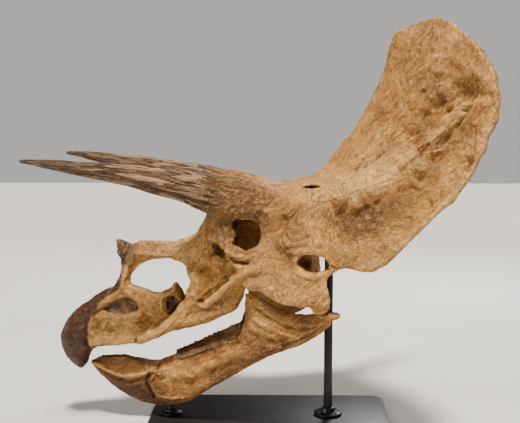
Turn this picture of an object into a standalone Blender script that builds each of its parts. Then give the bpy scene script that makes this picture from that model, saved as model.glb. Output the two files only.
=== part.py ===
"""Skull of a large horned dinosaur with its lower jaw, life size, on a plain display stand.

Metres, +Z up. The skull faces -X and its left side faces -Y. It is mounted nose down, as a museum
shows it, and is symmetric about the plane y = 0. The origin is on the floor, under the middle of
the whole. Widths are given as distances from the plane of symmetry, and copied to both sides.
"""

import math

import bmesh
import bpy
import numpy as np
from mathutils import Matrix, Vector

# Driving dimensions of the finish of the solids
UPPER_VOXEL = 0.011
JAW_VOXEL = 0.008
UPPER_TRIANGLES = 5400
JAW_TRIANGLES = 2200

# The thin gap left between neighbours
CUT_GAP = 0.0003

# Frill: each ray runs from the skull roof to the free margin, as (x, half width, z)
FRILL_THICKNESS = 0.034
FRILL_RAYS = {
    "midline": (
        (0.136, 0.00, 1.046), (0.279, 0.00, 1.088), (0.430, 0.00, 1.250), (0.562, 0.00, 1.505),
        (0.622, 0.00, 1.700),
    ),
    "parietal": (
        (0.135, 0.10, 1.034), (0.315, 0.14, 1.064), (0.493, 0.19, 1.236), (0.636, 0.21, 1.478),
        (0.725, 0.17, 1.738),
    ),
    "trough": (
        (0.147, 0.17, 1.009), (0.336, 0.22, 1.038), (0.534, 0.27, 1.180), (0.700, 0.32, 1.410),
        (0.827, 0.38, 1.646),
    ),
    "ridge": (
        (0.155, 0.22, 0.977), (0.335, 0.288, 1.027), (0.541, 0.348, 1.105), (0.741, 0.417, 1.302),
        (0.897, 0.54, 1.527),
    ),
    "squamosal": (
        (0.195, 0.30, 0.875), (0.396, 0.366, 0.895), (0.582, 0.436, 0.994), (0.774, 0.518, 1.173),
        (0.914, 0.60, 1.415),
    ),
    "edge": (
        (0.281, 0.38, 0.790), (0.473, 0.45, 0.739), (0.627, 0.545, 0.900), (0.811, 0.61, 1.120),
        (0.898, 0.62, 1.336),
    ),
}

# Brow horn: (x, half width, z, radius) from inside the brow to the tip
HORN_STATIONS = (
    (0.110, 0.150, 0.955, 0.080),
    (0.014, 0.165, 0.967, 0.103),
    (-0.061, 0.185, 0.989, 0.099),
    (-0.151, 0.210, 1.017, 0.088),
    (-0.295, 0.260, 1.058, 0.066),
    (-0.450, 0.310, 1.094, 0.051),
    (-0.604, 0.350, 1.121, 0.038),
    (-0.755, 0.385, 1.146, 0.025),
    (-0.915, 0.400, 1.167, 0.010),
)

# Bodies on the midline: (x, z, half height, half width)
BRAINCASE_STATIONS = (
    (-0.290, 0.745, 0.045, 0.075),
    (-0.235, 0.755, 0.075, 0.098),
    (-0.165, 0.765, 0.110, 0.115),
    (-0.080, 0.810, 0.150, 0.105),
    (0.025, 0.870, 0.150, 0.100),
    (0.157, 0.905, 0.130, 0.120),
    (0.290, 0.940, 0.110, 0.120),
    (0.400, 0.900, 0.070, 0.080),
)
ROOF_STATIONS = (
    (-0.150, 0.930, 0.035, 0.100),
    (-0.080, 0.980, 0.050, 0.140),
    (0.040, 1.000, 0.055, 0.180),
    (0.160, 1.003, 0.052, 0.190),
    (0.270, 1.040, 0.040, 0.170),
)
NASAL_STATIONS = (
    (-0.582, 0.752, 0.030, 0.028),
    (-0.530, 0.750, 0.040, 0.050),
    (-0.404, 0.752, 0.036, 0.072),
    (-0.320, 0.750, 0.038, 0.084),
    (-0.240, 0.765, 0.064, 0.095),
    (-0.150, 0.810, 0.080, 0.120),
)
NASAL_HORN_STATIONS = (
    (-0.525, 0.725, 0.055, 0.045),
    (-0.570, 0.758, 0.040, 0.040),
    (-0.602, 0.806, 0.010, 0.012),
)
NASAL_STRUT_STATIONS = (
    (-0.545, 0.725, 0.042, 0.036),
    (-0.555, 0.680, 0.032, 0.032),
    (-0.568, 0.640, 0.028, 0.032),
    (-0.580, 0.590, 0.034, 0.036),
)
PALATE_STATIONS = (
    (-0.640, 0.370, 0.025, 0.035),
    (-0.500, 0.390, 0.030, 0.058),
    (-0.400, 0.425, 0.030, 0.080),
    (-0.300, 0.475, 0.028, 0.095),
    (-0.210, 0.530, 0.022, 0.100),
)
CONDYLE = {"x": 0.448, "z": 0.880, "radius": 0.050}
NARIS_CORNER = {"centre": (-0.262, 0.0, 0.700), "half": (0.048, 0.090, 0.050)}

# Flat bones: side outline as (x, z), half width of the middle as (x, y), and half thickness
ROSTRAL = {
    "outline": (
        (-0.600, 0.595), (-0.679, 0.563), (-0.734, 0.524), (-0.788, 0.486), (-0.827, 0.442),
        (-0.849, 0.398), (-0.855, 0.354), (-0.847, 0.309), (-0.826, 0.271), (-0.799, 0.244),
        (-0.772, 0.222), (-0.748, 0.244), (-0.732, 0.285), (-0.714, 0.310), (-0.684, 0.318),
        (-0.620, 0.324), (-0.510, 0.345), (-0.520, 0.385), (-0.640, 0.400), (-0.660, 0.480),
        (-0.640, 0.530),
    ),
    "lateral": ((-1.0, 0.0), (1.0, 0.0)),
    "half_thickness": 0.060,
    "rounding": 0.085,
}
PREMAXILLA = {
    "outline": (
        (-0.690, 0.338), (-0.720, 0.420), (-0.690, 0.500), (-0.610, 0.595), (-0.540, 0.620),
        (-0.480, 0.590), (-0.436, 0.570), (-0.393, 0.575), (-0.366, 0.595), (-0.341, 0.620),
        (-0.320, 0.585), (-0.290, 0.535), (-0.290, 0.470), (-0.380, 0.390), (-0.471, 0.352),
        (-0.565, 0.331), (-0.630, 0.329),
    ),
    "lateral": ((-1.0, 0.0), (1.0, 0.0)),
    "half_thickness": 0.046,
    "rounding": 0.030,
}
MAXILLA = {
    "outline": (
        (-0.520, 0.340), (-0.471, 0.350), (-0.401, 0.382), (-0.356, 0.410), (-0.312, 0.421),
        (-0.259, 0.438), (-0.193, 0.464), (-0.144, 0.488), (-0.093, 0.510), (-0.050, 0.558),
        (-0.028, 0.612), (0.000, 0.680), (-0.010, 0.760), (-0.110, 0.800), (-0.200, 0.760),
        (-0.270, 0.720), (-0.285, 0.610), (-0.300, 0.540), (-0.360, 0.470), (-0.450, 0.410),
    ),
    "lateral": ((-0.520, 0.040), (-0.400, 0.072), (-0.250, 0.110), (-0.100, 0.158), (0.000, 0.200)),
    "half_thickness": 0.034,
    "rounding": 0.035,
}
CHEEK = {
    "outline": (
        (-0.110, 0.770), (-0.060, 0.690), (-0.034, 0.636), (0.029, 0.636), (0.058, 0.619),
        (0.111, 0.592), (0.163, 0.582), (0.229, 0.584), (0.280, 0.585), (0.311, 0.607),
        (0.312, 0.642), (0.305, 0.672), (0.312, 0.704), (0.347, 0.739), (0.400, 0.765),
        (0.420, 0.840), (0.360, 0.915), (0.250, 0.960), (0.120, 0.980), (0.060, 0.940),
        (0.045, 0.850), (-0.020, 0.790),
    ),
    "half_thickness": 0.024,
    "rounding": 0.030,
}

# Bars on each side: (x, half width, z, radius)
JUGAL_RIDGE_STATIONS = (
    (-0.215, 0.135, 0.530, 0.014),
    (-0.130, 0.180, 0.610, 0.026),
    (-0.030, 0.235, 0.690, 0.034),
    (0.060, 0.275, 0.715, 0.032),
    (0.160, 0.325, 0.690, 0.026),
)
PREFRONTAL_STATIONS = (
    (-0.340, 0.040, 0.752, 0.045),
    (-0.260, 0.070, 0.750, 0.062),
    (-0.200, 0.098, 0.780, 0.072),
    (-0.160, 0.118, 0.830, 0.078),
    (-0.130, 0.125, 0.880, 0.078),
)
BROW_BAR_STATIONS = (
    (-0.118, 0.195, 0.965, 0.034),
    (-0.120, 0.215, 0.900, 0.030),
    (-0.112, 0.228, 0.835, 0.028),
    (-0.070, 0.236, 0.780, 0.028),
    (-0.010, 0.245, 0.755, 0.028),
    (0.055, 0.255, 0.780, 0.028),
)
POSTORBITAL_STATIONS = (
    (0.075, 0.235, 0.960, 0.050),
    (0.080, 0.245, 0.880, 0.044),
    (0.075, 0.260, 0.800, 0.038),
    (0.060, 0.270, 0.730, 0.032),
)
QUADRATE_STATIONS = (
    (0.280, 0.160, 0.920, 0.038),
    (0.228, 0.270, 0.780, 0.027),
    (0.222, 0.325, 0.690, 0.027),
    (0.262, 0.350, 0.615, 0.036),
    (0.285, 0.350, 0.560, 0.034),
)
PTERYGOID_STATIONS = (
    (-0.230, 0.045, 0.548, 0.028),
    (-0.100, 0.050, 0.625, 0.032),
    (0.000, 0.062, 0.680, 0.036),
    (0.110, 0.110, 0.740, 0.040),
    (0.230, 0.300, 0.690, 0.026),
)
EXOCCIPITAL_STATIONS = (
    (0.330, 0.050, 0.935, 0.050),
    (0.348, 0.160, 0.925, 0.042),
    (0.352, 0.270, 0.890, 0.036),
    (0.345, 0.360, 0.845, 0.032),
)
LACRIMAL = {"centre": (-0.088, 0.175, 0.865), "half": (0.046, 0.060, 0.090)}

# Openings: centre (x, half width, z), half sizes (x, y, z) and tilt in degrees
ORBIT = {"centre": (-0.016, 0.270, 0.861), "half": (0.060, 0.170, 0.066), "tilt": 0}
TEMPORAL_OPENING = {"centre": (0.242, 0.385, 0.757), "half": (0.066, 0.045, 0.036), "tilt": 4}
FORAMEN_MAGNUM = {"centre": (0.430, 0.0, 0.952), "half": (0.060, 0.026, 0.024), "tilt": 20}
NARIS_OUTLINE = (
    (-0.401, 0.720), (-0.476, 0.705), (-0.517, 0.675), (-0.540, 0.629), (-0.541, 0.600),
    (-0.480, 0.575), (-0.441, 0.557), (-0.393, 0.562), (-0.366, 0.577), (-0.343, 0.610),
    (-0.322, 0.577), (-0.297, 0.535), (-0.276, 0.591), (-0.266, 0.646), (-0.274, 0.685),
    (-0.304, 0.709), (-0.349, 0.719),
)

# Lower jaw
DENTARY = {
    "outline": (
        (-0.462, 0.150), (-0.450, 0.215), (-0.430, 0.255), (-0.385, 0.276), (-0.349, 0.298),
        (-0.293, 0.322), (-0.203, 0.360), (-0.145, 0.388), (-0.085, 0.405), (-0.055, 0.412),
        (-0.033, 0.470), (-0.024, 0.520), (-0.028, 0.569), (-0.032, 0.600), (0.016, 0.599),
        (0.056, 0.579), (0.090, 0.554), (0.125, 0.540), (0.179, 0.536), (0.246, 0.540),
        (0.286, 0.560), (0.322, 0.562), (0.353, 0.552), (0.356, 0.532), (0.325, 0.517),
        (0.313, 0.492), (0.273, 0.461), (0.225, 0.423), (0.159, 0.390), (0.056, 0.330),
        (-0.049, 0.261), (-0.158, 0.188), (-0.232, 0.132), (-0.265, 0.103), (-0.330, 0.078),
        (-0.400, 0.082),
    ),
    "lateral": (
        (-0.460, 0.036), (-0.300, 0.082), (-0.160, 0.136), (-0.050, 0.186), (0.050, 0.236),
        (0.160, 0.285), (0.270, 0.325), (0.356, 0.345),
    ),
    "half_thickness": 0.036,
    "rounding": 0.040,
}
TOOTH_SHELF = {"inset": 0.036, "z_at_front": 0.180, "slope": 0.47, "front_x": -0.400, "depth": 0.080}
# Half sections of the predentary: x, inner rim (y, z), outer ridge (y, z), keel (y, z)
PREDENTARY_SECTIONS = (
    (-0.722, (0.004, 0.256), (0.009, 0.250), (0.003, 0.243)),
    (-0.688, (0.014, 0.279), (0.028, 0.243), (0.010, 0.198)),
    (-0.640, (0.022, 0.284), (0.045, 0.220), (0.016, 0.158)),
    (-0.580, (0.028, 0.281), (0.060, 0.205), (0.022, 0.113)),
    (-0.512, (0.032, 0.268), (0.074, 0.212), (0.028, 0.079)),
    (-0.452, (0.036, 0.256), (0.080, 0.230), (0.034, 0.066)),
    (-0.405, (0.036, 0.244), (0.068, 0.205), (0.038, 0.062)),
    (-0.340, (0.018, 0.120), (0.034, 0.098), (0.022, 0.062)),
    (-0.290, (0.010, 0.104), (0.018, 0.094), (0.010, 0.076)),
)
TOOTH = {"height": 0.024, "width": 0.014, "depth": 0.016, "root": 0.020}
LOWER_TOOTH_ROW = {"start": (-0.345, 0.058, 0.296), "end": (-0.090, 0.118, 0.398), "count": 13}
UPPER_TOOTH_ROW = {"start": (-0.330, 0.080, 0.425), "end": (-0.090, 0.150, 0.520), "count": 12}

# The jaw joint is a flat face at this height, behind this x
JOINT = {"z": 0.548, "front_x": 0.180}

# Stand
BASE = {"x": 0.070, "length": 1.060, "width": 0.560, "thickness": 0.016, "corner": 0.060}
REAR_POST = {"x": 0.330, "radius": 0.019, "top": 0.862}
FRONT_POST = {"x": -0.370, "radius": 0.016, "top": 0.072}
POST_SIDES = 20

# Where the bones part, in the order of cutting: the side outline as (x, z), then either the half
# width of one bone that crosses the middle, or the inner and outer half widths of a pair
FULL_WIDTH = 0.90
SKULL_REGIONS = (
    (
        "nasal_horn",
        ((-0.70, 0.70), (-0.56, 0.70), (-0.52, 0.74), (-0.50, 0.85), (-0.70, 0.85)),
        FULL_WIDTH,
    ),
    (
        "nasal",
        (
            (-0.75, 0.63), (-0.52, 0.63), (-0.30, 0.67), (-0.25, 0.70), (-0.20, 0.78),
            (-0.19, 0.95), (-0.75, 0.95),
        ),
        FULL_WIDTH,
    ),
    (
        "rostral",
        (
            (-0.95, 0.15), (-0.712, 0.15), (-0.712, 0.33), (-0.728, 0.37), (-0.712, 0.44),
            (-0.660, 0.530), (-0.600, 0.63), (-0.95, 0.63),
        ),
        FULL_WIDTH,
    ),
    (
        "premaxilla",
        (
            (-0.80, 0.28), (-0.80, 0.65), (-0.33, 0.65), (-0.285, 0.53), (-0.34, 0.46),
            (-0.40, 0.40), (-0.47, 0.30),
        ),
        FULL_WIDTH,
    ),
    (
        "brow_horn",
        (
            (-1.00, 1.26), (-0.080, 1.140), (-0.145, 1.050), (-0.178, 0.940), (-0.32, 0.90),
            (-1.00, 1.08),
        ),
        (0.03, 0.60),
    ),
    (
        "palate",
        (
            (-0.42, 0.37), (-0.28, 0.60), (-0.12, 0.655), (-0.02, 0.70), (-0.02, 0.60),
            (-0.20, 0.45),
        ),
        0.074,
    ),
    (
        "quadrate",
        ((0.16, 0.50), (0.16, 0.79), (0.31, 0.79), (0.38, 0.66), (0.38, 0.50)),
        (0.18, 0.345),
    ),
    (
        "jugal",
        (
            (-0.15, 0.52), (-0.13, 0.735), (-0.02, 0.775), (0.07, 0.775), (0.17, 0.757),
            (0.31, 0.757), (0.40, 0.70), (0.40, 0.52),
        ),
        (0.205, 0.60),
    ),
    (
        "squamosal",
        (
            (0.15, 0.757), (0.12, 0.86), (0.20, 0.955), (0.341, 1.017), (0.547, 1.095),
            (0.746, 1.294), (0.86, 1.49), (1.00, 1.70), (1.20, 1.20), (0.60, 0.55),
            (0.42, 0.66), (0.32, 0.757),
        ),
        (0.20, 0.80),
    ),
    (
        "parietal",
        (
            (0.24, 1.30), (0.24, 1.00), (0.45, 1.00), (0.60, 1.00), (1.20, 1.40),
            (1.20, 1.95), (0.40, 1.95),
        ),
        FULL_WIDTH,
    ),
    (
        "maxilla",
        (
            (-0.55, 0.28), (-0.40, 0.40), (-0.34, 0.46), (-0.285, 0.53), (-0.22, 0.56),
            (-0.10, 0.66), (0.02, 0.66), (0.02, 0.40), (-0.30, 0.28),
        ),
        (0.060, 0.30),
    ),
    (
        "postorbital",
        ((-0.25, 0.66), (-0.25, 1.20), (0.300, 1.20), (0.300, 0.66)),
        (0.185, 0.60),
    ),
    (
        "lacrimal",
        (
            (-0.33, 0.50), (-0.33, 0.66), (-0.26, 0.72), (-0.215, 0.79), (-0.205, 0.90),
            (-0.04, 0.90), (-0.04, 0.60),
        ),
        (0.092, 0.30),
    ),
    (
        "pterygoid",
        ((-0.04, 0.60), (-0.04, 0.700), (0.08, 0.775), (0.17, 0.785), (0.17, 0.60)),
        (0.00015, 0.30),
    ),
    (
        "occipital_condyle",
        ((0.420, 0.78), (0.420, 0.925), (0.560, 0.925), (0.560, 0.78)),
        FULL_WIDTH,
    ),
)
JAW_REGIONS = (
    (
        "predentary",
        (
            (-0.80, 0.00), (-0.80, 0.36), (-0.415, 0.36), (-0.425, 0.262), (-0.455, 0.20),
            (-0.440, 0.118), (-0.33, 0.098), (-0.28, 0.00),
        ),
        FULL_WIDTH,
    ),
    ("dentary", ((-0.60, 0.00), (-0.60, 0.70), (0.50, 0.70), (0.50, 0.00)), (0.00015, 0.60)),
)

COLOURS = {
    "bone": ((0.42, 0.24, 0.12), 0.72, 0.0),
    "horn_core": ((0.27, 0.18, 0.12), 0.78, 0.0),
    "beak": ((0.16, 0.09, 0.05), 0.70, 0.0),
    "steel": ((0.02, 0.02, 0.022), 0.45, 0.6),
}
SLOT_OF = {
    "brow_horn": "horn_core",
    "nasal_horn": "horn_core",
    "rostral": "beak",
    "predentary": "beak",
    "stand": "steel",
}


def clear_scene():
    for item in list(bpy.data.objects):
        bpy.data.objects.remove(item)
    for item in list(bpy.data.collections):
        bpy.data.collections.remove(item)


def new_collection(name):
    made = bpy.data.collections.new(name)
    bpy.context.scene.collection.children.link(made)
    return made


def new_material(name):
    colour, roughness, metallic = COLOURS[name]
    made = bpy.data.materials.new(name)
    made.use_nodes = True
    shader = made.node_tree.nodes["Principled BSDF"]
    shader.inputs["Base Color"].default_value = (*colour, 1.0)
    shader.inputs["Roughness"].default_value = roughness
    shader.inputs["Metallic"].default_value = metallic
    return made


def object_from(bm, name):
    """An object in the scene's own collection from a bmesh, with its faces pointing out."""
    bmesh.ops.remove_doubles(bm, verts=bm.verts, dist=1e-6)
    bmesh.ops.recalc_face_normals(bm, faces=bm.faces)
    mesh = bpy.data.meshes.new(name)
    bm.to_mesh(mesh)
    bm.free()
    made = bpy.data.objects.new(name, mesh)
    bpy.context.scene.collection.objects.link(made)
    return made


def interpolate(points, position):
    """A point on the smooth curve through the points, at a position from 0 to 1."""
    points = np.asarray(points, float)
    last = len(points) - 1
    place = min(max(position, 0.0), 1.0) * last
    first = min(int(place), last - 1)
    t = place - first
    before = points[first - 1] if first > 0 else 2 * points[0] - points[1]
    after = points[first + 2] if first + 2 <= last else 2 * points[last] - points[last - 1]
    a, b = points[first], points[first + 1]
    return 0.5 * (
        2 * a + (b - before) * t + (2 * before - 5 * a + 4 * b - after) * t**2
        + (3 * a - before - 3 * b + after) * t**3
    )


def smooth_outline(points, steps=4):
    """A closed smooth line through the points."""
    points = [np.asarray(p, float) for p in points]
    count = len(points)
    line = []
    for i in range(count):
        span = [points[(i + k) % count] for k in (-1, 0, 1, 2)]
        line += [interpolate(span, (1 + step / steps) / 3) for step in range(steps)]
    return np.array(line)


def loft(name, stations, sides=20, squareness=2.0):
    """A closed body through stations of (x, y, z, half height, half width), capped at both ends."""
    bm = bmesh.new()
    centres = [Vector(s[:3]) for s in stations]
    rings = []
    for i, station in enumerate(stations):
        along = (centres[min(i + 1, len(centres) - 1)] - centres[max(i - 1, 0)]).normalized()
        lateral = Vector((0, 1, 0))
        lateral = (lateral - along * lateral.dot(along)).normalized()
        upward = lateral.cross(along)
        ring = []
        for k in range(sides):
            angle = 2 * math.pi * k / sides
            c, s = math.cos(angle), math.sin(angle)
            c = math.copysign(abs(c) ** (2 / squareness), c)
            s = math.copysign(abs(s) ** (2 / squareness), s)
            ring.append(bm.verts.new(centres[i] + lateral * station[4] * c + upward * station[3] * s))
        rings.append(ring)
    for a, b in zip(rings, rings[1:]):
        for k in range(sides):
            bm.faces.new((a[k], a[(k + 1) % sides], b[(k + 1) % sides], b[k]))
    bm.faces.new(rings[0])
    bm.faces.new(rings[-1])
    return object_from(bm, name)


def smooth_stations(stations, steps=3):
    """The stations with others worked out between them."""
    total = (len(stations) - 1) * steps
    return [interpolate(stations, i / total) for i in range(total + 1)]


def middle_body(name, stations, squareness=2.2):
    rows = [(x, 0.0, z, height, width) for x, z, height, width in smooth_stations(stations)]
    return loft(name, rows, squareness=squareness)


def side_bar(name, stations, side):
    rows = [(x, side * y, z, r, r) for x, y, z, r in smooth_stations(stations)]
    return loft(name, rows, sides=16)


def distance_to_line(points, line):
    """The distance of each (x, z) point from a closed line."""
    best = np.full(len(points), 1e9)
    for a, b in zip(line, np.roll(line, -1, axis=0)):
        span = b - a
        share = np.clip(((points - a) @ span) / max(span @ span, 1e-12), 0, 1)
        best = np.minimum(best, np.linalg.norm(points - a - share[:, None] * span, axis=1))
    return best


def apply_modifiers(item):
    """Keeps the mesh that the modifiers make, and drops them."""
    graph = bpy.context.evaluated_depsgraph_get()
    mesh = bpy.data.meshes.new_from_object(item.evaluated_get(graph))
    item.modifiers.clear()
    item.data = mesh
    return item


def remesh(item, voxel):
    step = item.modifiers.new("remesh", "REMESH")
    step.mode = "VOXEL"
    step.voxel_size = voxel
    return apply_modifiers(item)


def lateral_of(shape, points):
    """How far from the plane of symmetry the middle of a flat bone lies, at each (x, z)."""
    known = np.array(shape["lateral"])
    return np.interp(points[:, 0], known[:, 0], known[:, 1])


def flat_bone(name, shape, side=1, lateral=lateral_of):
    """A bone given by its side outline, with rounded edges, set off from the plane of symmetry."""
    line = smooth_outline(shape["outline"])
    slab = 0.02
    made = remesh(prism(name, line, (-slab, slab)), 0.008)
    places = np.empty(len(made.data.vertices) * 3)
    made.data.vertices.foreach_get("co", places)
    places = places.reshape(-1, 3)
    plan = places[:, [0, 2]]
    reach = np.clip(distance_to_line(plan, line) / shape["rounding"], 0.04, 1)
    half = shape["half_thickness"] * np.sqrt(1 - (1 - reach) ** 2)
    places[:, 1] = side * (lateral(shape, plan) + places[:, 1] / slab * half)
    made.data.vertices.foreach_set("co", places.ravel())
    if side < 0:
        made.data.flip_normals()
    made.data.update()
    return made


def cheek_lateral(_, points):
    """The cheek flares outwards and back, and leans in at the top."""
    x, z = points[:, 0], points[:, 1]
    flare = 0.262 + 0.40 * np.clip(x, -0.1, 0.5) + 0.10 * (0.80 - z)
    return flare - 0.75 * np.clip(z - 0.84, 0, 1)


def dentary_lateral(shape, points):
    """The jaw spreads backwards, and the shelf that bears the teeth is set in."""
    x, z = points[:, 0], points[:, 1]
    above = z - TOOTH_SHELF["z_at_front"] - TOOTH_SHELF["slope"] * (x - TOOTH_SHELF["front_x"])
    inset = np.clip(above / TOOTH_SHELF["depth"], 0, 1) * np.clip((-0.06 - x) / 0.05, 0, 1)
    return lateral_of(shape, points) - TOOTH_SHELF["inset"] * inset


def ellipsoid(name, centre, half, tilt=0.0):
    bm = bmesh.new()
    bmesh.ops.create_uvsphere(bm, u_segments=24, v_segments=14, radius=1.0)
    turn = Matrix.Rotation(math.radians(tilt), 4, "Y")
    bm.transform(Matrix.Translation(centre) @ turn @ Matrix.Diagonal((*half, 1.0)))
    return object_from(bm, name)


def frill_surface(rows=26, columns=44):
    """The upper face of the frill as a grid of points, from its right edge to its left edge."""
    half = [np.array(ray) for ray in FRILL_RAYS.values()]
    mirror = np.array([1, -1, 1])
    rays = [ray * mirror for ray in half[:0:-1]] + half
    grid = []
    for row in range(rows):
        station = [interpolate(ray, row / (rows - 1)) for ray in rays]
        grid.append([interpolate(station, column / (columns - 1)) for column in range(columns)])
    return np.array(grid)


def frill():
    grid = frill_surface()
    rows, columns, _ = grid.shape
    bm = bmesh.new()
    verts = [[bm.verts.new(p) for p in row] for row in grid]
    for r in range(rows - 1):
        for c in range(columns - 1):
            bm.faces.new((verts[r][c], verts[r + 1][c], verts[r + 1][c + 1], verts[r][c + 1]))
    mesh = bpy.data.meshes.new("frill")
    bm.to_mesh(mesh)
    bm.free()
    made = bpy.data.objects.new("frill", mesh)
    bpy.context.scene.collection.objects.link(made)
    step = made.modifiers.new("thickness", "SOLIDIFY")
    step.thickness = FRILL_THICKNESS
    step.offset = 0
    return apply_modifiers(made)


def join(items, name):
    bm = bmesh.new()
    for item in items:
        item.data.transform(item.matrix_world)
        bm.from_mesh(item.data)
        bpy.data.objects.remove(item)
    mesh = bpy.data.meshes.new(name)
    bm.to_mesh(mesh)
    bm.free()
    made = bpy.data.objects.new(name, mesh)
    bpy.context.scene.collection.objects.link(made)
    return made


def smooth(item, factor, times):
    step = item.modifiers.new("smooth", "SMOOTH")
    step.factor = factor
    step.iterations = times
    return apply_modifiers(item)


def boolean(item, other, operation):
    step = item.modifiers.new(operation, "BOOLEAN")
    step.operation = operation
    step.object = other
    step.solver = "MANIFOLD"
    return apply_modifiers(item)


def cut(item, cutter):
    boolean(item, cutter, "DIFFERENCE")
    bpy.data.objects.remove(cutter)
    return item


def largest_surface(item):
    """Keeps only the largest closed surface of a mesh."""
    bm = bmesh.new()
    bm.from_mesh(item.data)
    left = set(bm.verts)
    groups = []
    while left:
        todo = [left.pop()]
        group = set(todo)
        while todo:
            for edge in todo.pop().link_edges:
                for vert in edge.verts:
                    if vert in left:
                        left.remove(vert)
                        group.add(vert)
                        todo.append(vert)
        groups.append(group)
    groups.sort(key=len)
    bmesh.ops.delete(bm, geom=[v for group in groups[:-1] for v in group], context="VERTS")
    bm.to_mesh(item.data)
    bm.free()
    return item


def decimate(item, triangles):
    item.data.calc_loop_triangles()
    step = item.modifiers.new("fewer faces", "DECIMATE")
    step.ratio = triangles / len(item.data.loop_triangles)
    step.use_collapse_triangulate = True
    return apply_modifiers(item)


def tooth_row(row, side, pointing):
    """Short tapered teeth set in a row, pointing up from a lower jaw or down from an upper one."""
    start, end = np.array(row["start"]), np.array(row["end"])
    deep, wide = TOOTH["depth"] / 2, TOOTH["width"] / 2
    teeth = []
    for i in range(row["count"]):
        x, y, z = start + (end - start) * i / (row["count"] - 1)
        height = TOOTH["height"] * (0.85 + 0.15 * math.sin(2.4 * i))
        stations = (
            (x, side * y, z - pointing * TOOTH["root"], deep, wide),
            (x, side * y, z, deep, wide),
            (x, side * y, z + pointing * height, deep * 0.5, wide * 0.6),
        )
        teeth.append(loft("tooth", stations, sides=8))
    return teeth


def upper_skull():
    """The whole upper skull as one closed body."""
    forms = [
        frill(),
        middle_body("braincase", BRAINCASE_STATIONS),
        middle_body("roof", ROOF_STATIONS),
        middle_body("nasal", NASAL_STATIONS),
        middle_body("nasal_horn", NASAL_HORN_STATIONS),
        middle_body("nasal_strut", NASAL_STRUT_STATIONS),
        middle_body("palate", PALATE_STATIONS),
        flat_bone("rostral", ROSTRAL),
        flat_bone("premaxilla", PREMAXILLA),
        ellipsoid("condyle", (CONDYLE["x"], 0, CONDYLE["z"]), [CONDYLE["radius"]] * 3),
        ellipsoid("naris_corner", NARIS_CORNER["centre"], NARIS_CORNER["half"]),
    ]
    for side in (-1, 1):
        x, y, z = LACRIMAL["centre"]
        forms += [
            side_bar("horn", HORN_STATIONS, side),
            side_bar("jugal_ridge", JUGAL_RIDGE_STATIONS, side),
            side_bar("prefrontal", PREFRONTAL_STATIONS, side),
            side_bar("brow_bar", BROW_BAR_STATIONS, side),
            side_bar("postorbital", POSTORBITAL_STATIONS, side),
            side_bar("quadrate", QUADRATE_STATIONS, side),
            side_bar("pterygoid", PTERYGOID_STATIONS, side),
            side_bar("exoccipital", EXOCCIPITAL_STATIONS, side),
            ellipsoid("lacrimal", (x, side * y, z), LACRIMAL["half"]),
            flat_bone("maxilla", MAXILLA, side),
            flat_bone("cheek", CHEEK, side, cheek_lateral),
        ] + tooth_row(UPPER_TOOTH_ROW, side, -1)
    skull = remesh(join(forms, "upper_skull"), UPPER_VOXEL)
    for opening in (ORBIT, TEMPORAL_OPENING):
        x, y, z = opening["centre"]
        for side in (-1, 1):
            cut(skull, ellipsoid("opening", (x, side * y, z), opening["half"], opening["tilt"]))
    hole = FORAMEN_MAGNUM
    cut(skull, ellipsoid("foramen_magnum", hole["centre"], hole["half"], hole["tilt"]))
    cut(skull, prism("naris", smooth_outline(NARIS_OUTLINE), (-0.3, 0.3)))
    skull = decimate(largest_surface(smooth(remesh(skull, UPPER_VOXEL), 0.5, 6)), UPPER_TRIANGLES)
    below = ((JOINT["front_x"], 0.40), (JOINT["front_x"], JOINT["z"]), (0.45, JOINT["z"]), (0.45, 0.40))
    cut(skull, prism("joint", below, (-FULL_WIDTH, FULL_WIDTH)))
    return cut(skull, post("seat", REAR_POST, CUT_GAP))


def lower_jaw():
    """The whole lower jaw as one closed body."""
    forms = [predentary()]
    for side in (-1, 1):
        forms.append(flat_bone("dentary", DENTARY, side, dentary_lateral))
        forms += tooth_row(LOWER_TOOTH_ROW, side, 1)
    jaw = smooth(remesh(join(forms, "lower_jaw"), JAW_VOXEL), 0.5, 3)
    jaw = decimate(largest_surface(jaw), JAW_TRIANGLES)
    face = JOINT["z"] - CUT_GAP
    above = ((JOINT["front_x"], face), (JOINT["front_x"], 0.70), (0.45, 0.70), (0.45, face))
    cut(jaw, prism("joint", above, (-FULL_WIDTH, FULL_WIDTH)))
    return cut(jaw, post("seat", FRONT_POST, CUT_GAP))


def predentary():
    """The beak of the lower jaw: a scoop with a ridge along each side."""
    bm = bmesh.new()
    rings = []
    for x, rim, ridge, keel in PREDENTARY_SECTIONS:
        dip = 0.35 * (rim[1] - ridge[1])
        half = (rim, ridge, (0.75 * ridge[0], 0.5 * (ridge[1] + keel[1])), keel)
        left = [(x, -y, z) for y, z in half]
        right = [(x, y, z) for y, z in half[::-1]]
        ring = [(x, 0, rim[1] - dip)] + left + [(x, 0, keel[1] - 0.004)] + right
        rings.append([bm.verts.new(p) for p in ring])
    for a, b in zip(rings, rings[1:]):
        for k in range(len(a)):
            n = (k + 1) % len(a)
            bm.faces.new((a[k], a[n], b[n], b[k]))
    bm.faces.new(rings[0])
    bm.faces.new(rings[-1])
    return object_from(bm, "predentary")


def prism(name, outline, span):
    """A side outline of (x, z) points drawn out across the skull between two half widths."""
    bm = bmesh.new()
    rings = [[bm.verts.new((x, y, z)) for x, z in outline] for y in span]
    count = len(outline)
    for i in range(count):
        j = (i + 1) % count
        bm.faces.new((rings[0][i], rings[0][j], rings[1][j], rings[1][i]))
    bm.faces.new(rings[0])
    bm.faces.new(rings[1])
    bmesh.ops.triangulate(bm, faces=[f for f in bm.faces if len(f.verts) > 4])
    return object_from(bm, name)


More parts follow.
